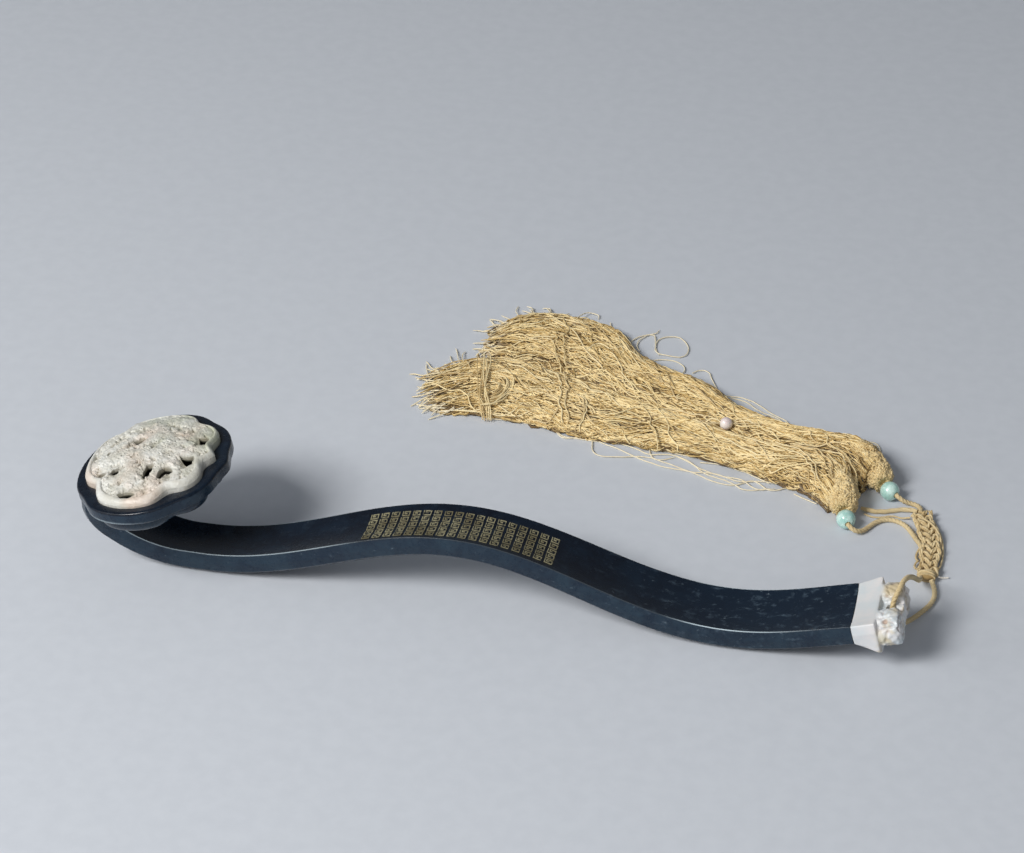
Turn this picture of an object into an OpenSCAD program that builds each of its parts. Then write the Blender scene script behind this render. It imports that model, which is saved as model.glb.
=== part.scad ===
// A ruyi scepter of dark jade: an S-shaped shaft whose neck rises into a lobed head, an openwork
// plaque of pale jade set in the head, a fret of gilt squares on the hump, a pale jade ferrule
// with a carved knob at the tail, and a pair of long tassels tied to the knob and laid behind it.
// Millimetres. The origin is under the middle of the scepter, on the surface that it lies on.
// +X runs from the head to the tail, +Y to the tassels, +Z up.

/* [Shaft] */
// Thickness of the stone along the shaft
stone_t = 13.5; // [12:0.1:15]
// Rise of the hump above the two troughs
hump_rise = 30.5; // [26:0.5:34]
// Distance along X from the crest of the hump to each trough
half_wave = 131.5; // [126:0.5:136]
// Place of the crest along X
crest_x = -13; // [-15:0.5:-11]
// Width of the shaft at the crest
crest_w = 29.4; // [26:0.1:32]
// Width gained for each millimetre towards the tail
taper = 0.031; // [0.02:0.001:0.04]
// Depth of the hollow along the middle of the top face
hollow = 1.5; // [0.8:0.1:2]
// Swell of the side faces past the top arris
side_swell = 0.6; // [0:0.1:1.2]
// Width of the bevel under each side face
under_bevel = 4; // [2:0.5:5]
// Stone ground away under each trough to give it a flat foot
foot_grind = 0.25; // [0.15:0.05:0.4]
// Length along X from the tail trough to the ferrule
tail_run = 62; // [56:0.5:66]
// Height that the tail curve would reach
tail_rise = 18.2; // [14:0.2:20]
// Length along X in which the tail curve would reach it
tail_reach = 100; // [92:1:110]

/* [Neck] */
// Straight length between the neck trough and the start of the neck's bend
neck_flat = 7; // [4:0.5:10]
// Radius of the neck's long bend at the middle of the stone
neck_r = 60; // [56:0.5:66]
// Turn of the long bend in degrees
neck_turn = 38; // [34:1:42]
// Radius of the short bend that carries the neck into the head
crook_r = 20; // [17:0.5:24]
// Turn of the short bend in degrees
crook_turn = 52; // [48:1:54]
// Straight stretch of the neck inside the head's stone
neck_rise = 9.25; // [7:0.25:10]
// Width of the neck where it enters the head
neck_w = 40; // [34:0.5:46]

/* [Head] */
// Half of the head's length, along X before it is tilted
head_a = 39; // [36:0.5:42]
// Half of the head's width
head_b = 44.2; // [41:0.2:47]
// Tilt of the head's face in degrees
head_tilt = 11.4; // [8:0.2:15]
// Thickness of the head
head_t = 15; // [13:0.5:17]
// Height of the plain rim band around the head
rim_h = 6.5; // [5:0.5:8]
// Inset of the lobed lower tier from the rim
tier_in = 4; // [2.5:0.5:5]
// Distance from the head's middle to where the neck enters it
neck_inset = 28.8; // [27:0.2:31]
// Depth to which the neck is carved into the head's stone
neck_sink = 9.2; // [8:0.1:11]
// Depth of each notch between two lobes, as a part of the radius
rim_notch = 0.035; // [0.01:0.005:0.06]

/* [Plaque] */
// Least width of the dark rim left around the plaque
rim_w = 5.2; // [4:0.1:6.5]
// Depth of each notch in the plaque's outline, as a part of the radius
plaque_notch = 0.12; // [0.08:0.01:0.15]
// Depth of the recess for the plaque
recess_d = 4; // [3:0.2:5]
// Thickness of the mastic bed under the plaque
bed_t = 1; // [0.6:0.1:1.6]
// Height of the plaque's edge above the head's face
edge_h = 3; // [2:0.2:4]
// Height of the plaque's middle above the head's face
dome_h = 9; // [8:0.2:11]
// Thickness of the carved shell of the plaque
shell_t = 4.5; // [3.5:0.1:5.5]
// Width of the solid border around the hollow under the plaque
border_w = 5; // [4:0.5:7]
// Clearance between the plaque and the wall of its recess
seat_gap = 0.2; // [0.1:0.05:0.4]
// Half-length of a large piercing
pierce_l = 3.6; // [2.5:0.1:4.5]
// Half-width of a large piercing
pierce_w = 2; // [1.2:0.1:2.6]

/* [Gilt fret] */
// Length of the gilt block along X
fret_len = 97; // [80:1:110]
// Width of the gilt block across the shaft
fret_w = 22; // [18:0.5:24]
// Offset of the block towards the front arris
fret_shift = 1.4; // [0:0.1:2]
// Number of gilt squares along the block
fret_cols = 18; // [12:1:20]
// Number of rows across the block
fret_rows = 5; // [3:1:5]
// Part of its cell that each square fills
fret_fill = 0.8; // [0.6:0.05:0.9]
// Thickness of the gilding
gilt_t = 0.3; // [0.2:0.05:0.5]
// Clearance between the gilding and the stone
gilt_gap = 0.12; // [0.08:0.02:0.3]

/* [Ferrule and knob] */
// Length of the ferrule along the shaft's end direction
ferrule_l = 12.5; // [10:0.5:15]
// Swell of the ferrule's outer end above the shaft's top
flare_up = 1.8; // [0.5:0.1:3]
// Swell of the ferrule's outer end below the shaft's underside
flare_down = 5; // [2:0.2:6]
// Swell of the ferrule's outer end at each side
flare_side = 1.6; // [0.5:0.1:3]
// Thickness of the joint between the shaft and the ferrule
joint_gap = 0.15; // [0.1:0.05:0.3]
// Radius of the dowel inside the joint
dowel_r = 4; // [3:0.1:5]
// Length of the dowel, half in the shaft and half in the ferrule
dowel_l = 16; // [12:0.5:18]
// Clearance around the dowel and at its ends
dowel_gap = 0.05; // [0.03:0.01:0.1]
// Radius of each lobe of the knob
lobe_r = 9.3; // [8:0.1:10]
// Distance of each lobe's middle from the middle of the shaft
lobe_y = 10.8; // [10:0.1:12]
// Thickness of the lobes along the shaft's end direction
lobe_t = 12; // [10:0.5:14]
// Radius of the round edge of a lobe
lobe_edge = 3.5; // [2:0.5:4.5]
// Height of the web between the lobes
web_h = 8; // [6:0.5:10]
// Width of the web between the lobes
web_w = 12; // [9:0.5:14]
// Radius of the cord hole through the web
eye_r = 2.5; // [2.2:0.1:2.8]
// Distance from the ferrule's outer face to the cord hole's middle
eye_in = 5; // [4.5:0.1:7]

/* [Cords and tassels] */
// Diameter of the thick silk cord
cord_d = 2.5; // [2:0.1:3]
// Diameter of the thin silk strands
strand_d = 1; // [0.8:0.1:1.2]
// Width of the flat braid
braid_w = 12; // [10:0.5:14]
// Height of the flat braid
braid_h = 5; // [4:0.5:6]
// Radius of the stone beads
bead_r = 5; // [4:0.1:5.2]
// Radial clearance between a bead and its cord
bead_gap = 0.2; // [0.1:0.05:0.3]
// Radius of the pearl
pearl_r = 3.4; // [3:0.1:4]
// Radial clearance between the pearl and its strand
pearl_gap = 0.1; // [0.05:0.05:0.2]
// Largest radius of a tassel's netted head
tassel_r = 8; // [7:0.1:9]
// Length of the back tassel's head
back_head_l = 29; // [24:0.5:32]
// Length of the front tassel's head
front_head_l = 26; // [22:0.5:29]
// Clearance under what lies on the surface
lay_gap = 0.2; // [0.1:0.05:0.4]

/* [Hidden] */
eps = 0.01;
far = 600;

// Colours
dark_jade = [0.07, 0.1, 0.12];
pale_jade = [0.82, 0.83, 0.76];
mastic = [0.16, 0.11, 0.07];
gilding = [0.66, 0.5, 0.24];
silk = [0.72, 0.6, 0.38];
silk_dark = [0.58, 0.46, 0.27];
turquoise = [0.25, 0.62, 0.6];
pearl_white = [0.9, 0.84, 0.8];

// The shaft's top line, as a height over X
neck_trough = crest_x - half_wave;
tail_trough = crest_x + half_wave;
tail_x = tail_trough + tail_run;
trough_z = stone_t - foot_grind;
hump_z = function(x) trough_z + hump_rise * (1 + cos(180 * (x - crest_x) / half_wave)) / 2;
tail_z = function(x) trough_z + tail_rise * (1 - cos(180 * (x - tail_trough) / tail_reach)) / 2;
function top_z(x) = x < neck_trough ? trough_z : x > tail_trough ? tail_z(x) : hump_z(x);
function top_angle(x) = atan((top_z(x + eps) - top_z(x - eps)) / (2 * eps));
function shaft_w(x) = crest_w + taper * (x - crest_x);

// A station is [x, z, angle, width], with its point on the top face
station_step = 4.1;
shaft_steps = round((tail_x - neck_trough) / station_step);
bend_x = neck_trough - neck_flat;
mid_z = trough_z - stone_t / 2;
crook_x = bend_x - (neck_r - crook_r) * sin(neck_turn);
crook_z = mid_z + neck_r - (neck_r - crook_r) * cos(neck_turn);
total_turn = neck_turn + crook_turn;
bend_w = shaft_w(bend_x);
function flare(a) = bend_w + (neck_w - bend_w) * pow(a / total_turn, 1.5);
function bend_top(a) = a <= neck_turn
    ? [bend_x - (neck_r - stone_t / 2) * sin(a), mid_z + neck_r - (neck_r - stone_t / 2) * cos(a)]
    : [crook_x - (crook_r - stone_t / 2) * sin(a), crook_z - (crook_r - stone_t / 2) * cos(a)];
bend_step = 4.75;
bend_steps = ceil(total_turn / bend_step);
bend_stations = [for (i = [bend_steps:-1:1])
    let (a = total_turn * i / bend_steps)
    [bend_top(a)[0], bend_top(a)[1], -a, flare(a)]];
shaft_stations = [for (i = [0:shaft_steps])
    let (x = neck_trough + (tail_x - neck_trough) * i / shaft_steps)
    [x, top_z(x), top_angle(x), shaft_w(x)]];
head_station = [[bend_top(total_turn)[0], crook_z + neck_rise, -total_turn, neck_w]];
flat_station = [[bend_x, trough_z, 0, bend_w]];
stations = concat(head_station, bend_stations, flat_station, shaft_stations);

// The shaft's section across, as [y, depth], for a width w
hollow_steps = 6;
swell_depth = 0.4 * stone_t;
bevel_depth = 0.75 * stone_t;
function section(w) = concat(
    [for (i = [0:hollow_steps])
        let (u = 2 * i / hollow_steps - 1) [w / 2 * u, -hollow * (1 - u * u)]],
    [[w / 2 + side_swell, -swell_depth], [w / 2, -bevel_depth],
     [w / 2 - under_bevel, -stone_t], [under_bevel - w / 2, -stone_t],
     [-w / 2, -bevel_depth], [-w / 2 - side_swell, -swell_depth]]);
function placed(p, s) = [s[0] - p[1] * sin(s[2]), p[0], s[1] + p[1] * cos(s[2])];

// A closed skin over rings of points that all have as many points
function mean(ring) = [for (k = [0:2]) [for (p = ring) p[k]] * [for (p = ring) 1] / len(ring)];
module skin(rings) {
    n = len(rings[0]);
    last = (len(rings) - 1) * n;
    points = concat([for (r = rings) each r], [mean(rings[0]), mean(rings[len(rings) - 1])]);
    first_hub = len(points) - 2;
    last_hub = len(points) - 1;
    sides = [for (r = [0:len(rings) - 2]) for (k = [0:n - 1])
        let (a = r * n + k, b = r * n + (k + 1) % n)
        each [[a, b, b + n], [a, b + n, a + n]]];
    first_cap = [for (k = [0:n - 1]) [first_hub, (k + 1) % n, k]];
    last_cap = [for (k = [0:n - 1]) [last_hub, last + k, last + (k + 1) % n]];
    polyhedron(points = points, faces = concat(sides, first_cap, last_cap));
}

// A round cord along a route; ref is a direction that the route never follows
function unit(v) = v / norm(v);
function way(route, i) = unit(route[min(i + 1, len(route) - 1)] - route[max(i - 1, 0)]);
cord_sides = 8;
module cord(route, d, ref = [0, 0, 1]) {
    skin([for (i = [0:len(route) - 1])
        let (t = way(route, i), a = unit(cross(t, ref)), b = cross(a, t))
        [for (k = [0:cord_sides - 1])
            let (f = 360 * k / cord_sides) route[i] + d / 2 * (a * cos(f) - b * sin(f))]]);
}

// Outline of the head: an ellipse with soft notches between its lobes
notches = [14, 59, 136, 224, 301, 346];
notch_half = 11;
function turned(a, b) = let (d = abs(a - b) % 360) min(d, 360 - d);
function dip(a) = max([for (m = notches) exp(-pow(turned(a, m) / notch_half, 2))]);
function oval_r(a, half_x, half_y) =
    half_x * half_y / sqrt(pow(half_y * cos(a), 2) + pow(half_x * sin(a), 2));
outline_step = 6;
module lobed(inset, notch) {
    polygon([for (a = [0:outline_step:360 - outline_step])
        let (r = (oval_r(a, head_a, head_b) - inset) * (1 - notch * dip(a)))
        [r * cos(a), r * sin(a)]]);
}

// The head's own frame: its face is Z 0, and its middle stands over the neck's end
neck_end = [crook_x - crook_r, crook_z + neck_rise];
head_across = [cos(head_tilt), sin(head_tilt)];
head_up = [-sin(head_tilt), cos(head_tilt)];
head_mid = neck_end + neck_inset * head_across + (head_t - neck_sink) * head_up;
module in_head() {
    translate([head_mid[0], 0, head_mid[1]])
        rotate([0, -head_tilt, 0])
            children();
}
plaque_bottom = bed_t - recess_d;
plaque_half = head_b - rim_w;
dome_rise = dome_h - edge_h;
dome_r = (plaque_half * plaque_half + dome_rise * dome_rise) / (2 * dome_rise);
dome_fn = 96;

// The tail's own frame: X runs on along the shaft, with 0 at the shaft's end face
tail_angle = top_angle(tail_x);
module at_tail() {
    translate([tail_x, 0, top_z(tail_x)])
        rotate([0, -tail_angle, 0])
            children();
}
tail_mid = -stone_t / 2;
eye_x = ferrule_l + eye_in;
tail_w = shaft_w(tail_x);

// Routes of the cords, chosen by hand
hanging_route = [[213.5, 57.5, 2.6], [215.6, 52, 1.8], [216.2, 45.5, 1.5], [214.6, 39, 1.5],
    [211.6, 33, 1.6], [208.6, 27, 2.2], [206, 21, 4], [203.8, 15.4, 6.6], [202, 10, 9.4],
    [200.4, 5.2, 12.8], [199.7, 1.6, 17], [199.5, 0.2, 21.5], [198.7, 0.2, 26], [199, 1.4, 30.4],
    [200.8, 4.6, 34], [202, 10, 35.4], [203.4, 16, 33.6], [204.4, 22, 30], [205.2, 28, 25.6],
    [206, 34.5, 20.4], [206.8, 41, 15], [207.4, 47.5, 9.6], [207.6, 53, 5.4], [207.8, 58, 3.4]];
braid_route = [[210.6, 63], [210.7, 67], [210.6, 71], [210.4, 78], [210, 85], [209, 92],
    [207, 99], [204.6, 106], [202.4, 113]];
back_lead_in = [188.5, 122.5, 5.3];
back_lead_out = [180.7, 128.7, 5.3];
lead_back_route = [[202.1, 113.4, 2.7], [201.8, 117.4, 2.1], [199.4, 121.2, 1.5],
    [195.8, 122.2, 1.6], [192, 121.4, 3.2], back_lead_in, back_lead_out];
front_lead_in = [167.4, 91.4, 5.3];
front_lead_out = [163.8, 101, 5.3];
lead_front_route = [[202.2, 90.8, 2.4], [199.4, 96.6, 1.7], [196, 102, 1.5], [191, 105.4, 1.5],
    [185.6, 105.8, 1.5], [180.8, 102.6, 1.5], [177.6, 97.6, 1.5], [174.8, 92.6, 1.8],
    [171.2, 89.4, 3.4], front_lead_in, front_lead_out];
spare_route = [[200.4, 115, 2.2], [195, 116.6, 1.6], [189, 114.6, 1.5], [183, 112, 1.5],
    [177, 111.4, 1.5], [171.6, 112.6, 1.7]];
strand_route = [[197.1, 109.3, 1.9], [192.4, 109.4, 0.7], [189.4, 110.4, 0.7], [186, 109.6, 0.7],
    [183, 108, 0.7], [180, 107.4, 0.7], [177, 107.6, 0.7], [173.6, 109, 0.8]];
thread_end_route = [[216, 62.2, 2], [217.4, 62.8, 1.2], [219.2, 63.6, 0.7], [221.5, 64.4, 0.7]];
tie_route = [[-28, 144.4, 1.6], [-30, 149.6, 6.8], [-32.6, 160, 9.4], [-36, 176, 10],
    [-39.4, 192, 9.4], [-42, 203, 7], [-43.4, 207.8, 1.8]];
pearl_in = [99, 163, 9.7];
pearl_out = [87, 161, 9.7];
pearl_route = [[112, 163.8, 10.9], [105, 163.8, 10.2], pearl_in, pearl_out,
    [81, 160.4, 8.9], [75, 160.2, 8.2]];

// Stations of the tassels' skirts: front edge x, y, back edge x, y, and height
skirt_front = [[143.1, 119.1, 156, 127.8, 14], [138, 119.6, 150, 138, 13],
    [130, 119.8, 136.5, 145.6, 12], [118.5, 122, 118.5, 151, 11], [98.5, 122, 98.5, 157, 10],
    [73.5, 123, 73.5, 167, 9], [48.5, 125, 48.5, 178, 8], [18.5, 138, 18.5, 190, 8],
    [-11.5, 144, -11.5, 200, 8], [-41.5, 149, -41.5, 205, 8], [-63, 157, -62, 206, 7],
    [-78, 170, -76, 198, 5]];
skirt_back = [[158.8, 149.6, 172, 158.6, 14], [148.5, 151.6, 162, 169.4, 13],
    [137, 152, 147, 175, 12], [118.5, 152.6, 124, 179, 11], [98.5, 158.6, 98.5, 194, 10],
    [73.5, 168.6, 73.5, 217, 9], [48.5, 179.6, 48.5, 236, 8], [18.5, 191.6, 18.5, 247, 8],
    [-11.5, 201.6, -11.5, 258, 8], [-37.5, 207, -37.5, 254, 7], [-57, 216, -55, 242, 5]];
skirt_arc = 8;
skirt_edge = 0.25;
function skirt_ring(s) = concat(
    [for (k = [0:skirt_arc])
        let (f = 180 * k / skirt_arc, u = (1 + cos(f)) / 2,
            z = lay_gap + s[4] * (skirt_edge + (1 - skirt_edge) * sin(f)))
        [s[0] + (s[2] - s[0]) * u, s[1] + (s[3] - s[1]) * u, z]],
    [[s[0], s[1], lay_gap], [s[2], s[3], lay_gap]]);

// The stone of the shaft, neck and head is one piece
module jade_body() {
    color(dark_jade) difference() {
        union() {
            skin([for (s = stations) [for (p = section(s[3])) placed(p, s)]]);
            in_head() {
                translate([0, 0, -rim_h])
                    linear_extrude(rim_h) lobed(0, rim_notch);
                translate([0, 0, -head_t])
                    linear_extrude(head_t - rim_h / 2) lobed(tier_in, plaque_notch);
            }
        }
        in_head() translate([0, 0, -recess_d])
            linear_extrude(head_t) lobed(rim_w - seat_gap, plaque_notch);
        at_tail() translate([-dowel_l / 2 - dowel_gap, 0, tail_mid])
            rotate([0, 90, 0]) cylinder(h = dowel_l, r = dowel_r + dowel_gap, $fn = 48);
        translate([-far / 2, -far / 2, -far]) cube(far);
    }
}

module plaque_bed() {
    color(mastic) in_head() translate([0, 0, -recess_d])
        linear_extrude(bed_t) lobed(rim_w, plaque_notch);
}

// Pierced holes: [direction, distance, turn, share of the full size] on the head's face
piercings = [[134, 13.6, 20, 0.7], [225, 20.6, 45, 0.7], [217, 27.5, 30, 0.6],
    [283, 17.1, 90, 1], [307, 21.6, 60, 1], [340, 22.1, 100, 1.1], [24, 26.2, 60, 0.9],
    [264, 33.5, 0, 1], [62, 24, -30, 0.8], [116, 25, 30, 0.8], [80, 8, 0, 0.7],
    [180, 23, 80, 0.8]];
module piercing(share) {
    n = 12;
    polygon([for (k = [0:n - 1])
        let (f = 360 * k / n) share * [pierce_l * cos(f), pierce_w * sin(f) * (1 + 0.3 * cos(f))]]);
}
module openwork_plaque() {
    color(pale_jade) in_head() difference() {
        intersection() {
            translate([0, 0, plaque_bottom])
                linear_extrude(dome_h - plaque_bottom) lobed(rim_w, plaque_notch);
            translate([0, 0, dome_h - dome_r]) sphere(dome_r, $fn = dome_fn);
        }
        intersection() {
            translate([0, 0, plaque_bottom - 1])
                linear_extrude(dome_h) lobed(rim_w + border_w, plaque_notch);
            translate([0, 0, dome_h - dome_r]) sphere(dome_r - shell_t, $fn = dome_fn);
        }
        for (p = piercings)
            translate([p[1] * cos(p[0]), p[1] * sin(p[0]), plaque_bottom])
                linear_extrude(dome_h * 2) rotate(p[2]) piercing(p[3]);
    }
}

// One square spiral of the fret, in a cell of the given size
module fret_square(size_x, size_y) {
    line = min(size_x, size_y) / 7;
    ex = size_x / 2;
    ey = size_y / 2;
    polygon([[-ex, -ey], [ex, -ey], [ex, ey], [-ex + 2 * line, ey], [-ex + 2 * line, -line / 2],
        [line, -line / 2], [line, line / 2 + line / 3], [-ex + 3 * line, line / 2 + line / 3],
        [-ex + 3 * line, ey - line], [ex - line, ey - line], [ex - line, -ey + line],
        [-ex + line, -ey + line], [-ex + line, ey], [-ex, ey]]);
}
fret_pitch_x = fret_len / fret_cols;
fret_pitch_y = fret_w / fret_rows;
module gilt_fret() {
    color(gilding) for (i = [0:fret_cols - 1], j = [0:fret_rows - 1]) {
        x = crest_x + (i - (fret_cols - 1) / 2) * fret_pitch_x;
        y = (j - (fret_rows - 1) / 2) * fret_pitch_y - fret_shift;
        u = 2 * y / shaft_w(x);
        lean = atan(4 * hollow * u / shaft_w(x));
        translate([x, 0, top_z(x)])
            rotate([0, -top_angle(x), 0])
                translate([0, y, gilt_gap - hollow * (1 - u * u)])
                    rotate([lean, 0, 0])
                        linear_extrude(gilt_t)
                            fret_square(fret_pitch_x * fret_fill, fret_pitch_y * fret_fill);
    }
}

module tail_dowel() {
    color(silk_dark) at_tail() translate([-dowel_l / 2, 0, tail_mid])
        rotate([0, 90, 0]) cylinder(h = dowel_l, r = dowel_r, $fn = 48);
}

// The ferrule swells from the shaft's own section to a larger outer end, where the knob is
// carved from the same stone
knob_sink = 0.5;
function swollen(p, k) = [p[0] * (1 + k * 2 * flare_side / tail_w),
    p[1] + (p[1] > -stone_t / 2 ? k * flare_up : -k * flare_down)];
ferrule_rings = [[joint_gap, 0], [ferrule_l * 0.35, 0.15], [ferrule_l * 0.7, 0.6],
    [ferrule_l * 0.92, 1], [ferrule_l, 0.85]];
module knob_lobe() {
    rotate([0, 90, 0]) rotate_extrude($fn = 48)
        intersection() {
            union() {
                square([lobe_r - lobe_edge, lobe_t]);
                translate([0, lobe_edge]) square([lobe_r, lobe_t - 2 * lobe_edge]);
                translate([lobe_r - lobe_edge, lobe_edge]) circle(lobe_edge, $fn = 32);
                translate([lobe_r - lobe_edge, lobe_t - lobe_edge]) circle(lobe_edge, $fn = 32);
            }
            square([lobe_r, lobe_t]);
        }
}
module tail_ferrule() {
    color(pale_jade) at_tail() difference() {
        union() {
            skin([for (r = ferrule_rings)
                [for (p = section(tail_w)) let (q = swollen(p, r[1])) [r[0], q[0], q[1]]]]);
            for (s = [-1, 1])
                translate([ferrule_l - knob_sink, s * lobe_y, tail_mid]) knob_lobe();
            translate([ferrule_l - knob_sink, -lobe_y, tail_mid - web_h / 2])
                cube([web_w - knob_sink, 2 * lobe_y, web_h]);
        }
        translate([0, 0, tail_mid]) rotate([0, 90, 0])
            cylinder(h = dowel_l / 2 + dowel_gap, r = dowel_r + dowel_gap, $fn = 48);
        translate([eye_x, 0, tail_mid - stone_t]) cylinder(h = 2 * stone_t, r = eye_r, $fn = 48);
    }
}

module hanging_cord() {
    color(silk) cord(hanging_route, cord_d, [1, 0, 0]);
}

// The braid is a flat band of knots, taken as an oval tube
module braided_knot() {
    n = 12;
    color(silk) skin([for (i = [0:len(braid_route) - 1])
        let (t = way(braid_route, i))
        [for (k = [0:n - 1])
            let (f = -360 * k / n, s = braid_w / 2 * cos(f))
            [braid_route[i][0] + t[1] * s, braid_route[i][1] - t[0] * s,
             lay_gap + braid_h / 2 * (1 + sin(f))]]]);
}

// The whipping holds both ends of the hanging cord in front of the braid
wrap_w = 9.6;
wrap_h = 5.6;
module knot_wrap() {
    cord_y = hanging_route[len(hanging_route) - 1][1];
    wrap_l = braid_route[0][1] - cord_y - 2 * lay_gap;
    n = 16;
    color(silk_dark) translate([braid_route[0][0], cord_y + lay_gap, lay_gap + wrap_h / 2])
        rotate([-90, 0, 0]) linear_extrude(wrap_l)
            polygon([for (k = [0:n - 1])
                let (f = 360 * k / n) [wrap_w / 2 * cos(f), wrap_h / 2 * sin(f)]]);
}

module knot_thread_end() {
    color(pearl_white) cord(thread_end_route, strand_d);
}

module lead_cord_back() {
    color(silk) cord(lead_back_route, cord_d);
}

module lead_cord_front() {
    color(silk) cord(lead_front_route, cord_d);
}

module spare_cord() {
    color(silk_dark) cord(spare_route, cord_d);
}

module thin_strand() {
    color(silk) cord(strand_route, strand_d);
}

// A drilled ball threaded on the line from a to b
module ball_on(a, b, r, bore_r) {
    d = unit(b - a);
    translate((a + b) / 2)
        rotate([0, acos(d[2]), atan2(d[1], d[0])])
            difference() {
                sphere(r, $fn = 64);
                cylinder(h = 3 * r, r = bore_r, center = true, $fn = 32);
            }
}

module bead_back() {
    color(turquoise) ball_on(back_lead_in, back_lead_out, bead_r, cord_d / 2 + bead_gap);
}

module bead_front() {
    color(turquoise) ball_on(front_lead_in, front_lead_out, bead_r, cord_d / 2 + bead_gap);
}

module pearl_strand() {
    color(silk) cord(pearl_route, strand_d);
}

module pearl() {
    color(pearl_white) ball_on(pearl_in, pearl_out, pearl_r, strand_d / 2 + pearl_gap);
}

// A netted tassel head is a barrel that lies on its side, with its near end at the cord
head_way = [-0.56, 0.83];
head_profile = [[0.62, 0], [0.85, 0.08], [1, 0.3], [1, 0.7], [0.9, 0.93], [0.8, 1]];
module tassel_head(end, l) {
    color(silk) translate([end[0], end[1], tassel_r + lay_gap])
        rotate([0, 0, atan2(head_way[1], head_way[0])]) rotate([0, 90, 0])
            translate([0, 0, lay_gap * 2]) rotate_extrude($fn = 48)
                polygon(concat([[0, 0]], [for (q = head_profile) [tassel_r * q[0], l * q[1]]],
                    [[0, l]]));
}

module tassel_head_back() {
    tassel_head(back_lead_out, back_head_l);
}

module tassel_head_front() {
    tassel_head(front_lead_out, front_head_l);
}

module tassel_skirt_back() {
    color(silk) skin([for (s = skirt_back) skirt_ring(s)]);
}

module tassel_skirt_front() {
    color(silk) skin([for (s = skirt_front) skirt_ring(s)]);
}

module tassel_tie() {
    color(silk_dark) cord(tie_route, cord_d);
}

jade_body();
plaque_bed();
openwork_plaque();
gilt_fret();
tail_dowel();
tail_ferrule();
hanging_cord();
braided_knot();
knot_wrap();
knot_thread_end();
lead_cord_back();
bead_back();
lead_cord_front();
bead_front();
spare_cord();
thin_strand();
tassel_head_back();
tassel_head_front();
tassel_skirt_back();
tassel_skirt_front();
tassel_tie();
pearl_strand();
pearl();
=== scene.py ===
import math

import bmesh
import bpy
import numpy as np
from mathutils import Matrix, Vector


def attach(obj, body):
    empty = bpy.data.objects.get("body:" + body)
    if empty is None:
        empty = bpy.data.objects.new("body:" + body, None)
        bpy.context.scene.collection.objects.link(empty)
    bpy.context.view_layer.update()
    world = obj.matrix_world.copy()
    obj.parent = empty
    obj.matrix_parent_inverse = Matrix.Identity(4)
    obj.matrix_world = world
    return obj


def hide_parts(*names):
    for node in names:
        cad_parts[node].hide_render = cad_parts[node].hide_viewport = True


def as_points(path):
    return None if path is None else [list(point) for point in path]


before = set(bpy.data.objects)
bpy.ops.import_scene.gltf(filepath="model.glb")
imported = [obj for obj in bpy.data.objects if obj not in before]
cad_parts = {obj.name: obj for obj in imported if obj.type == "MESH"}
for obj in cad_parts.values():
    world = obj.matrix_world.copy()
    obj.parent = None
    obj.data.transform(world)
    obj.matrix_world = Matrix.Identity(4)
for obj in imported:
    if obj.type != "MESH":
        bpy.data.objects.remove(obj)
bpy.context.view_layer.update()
print("frame: loaded")

mm = 0.001
scene = bpy.context.scene


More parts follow.
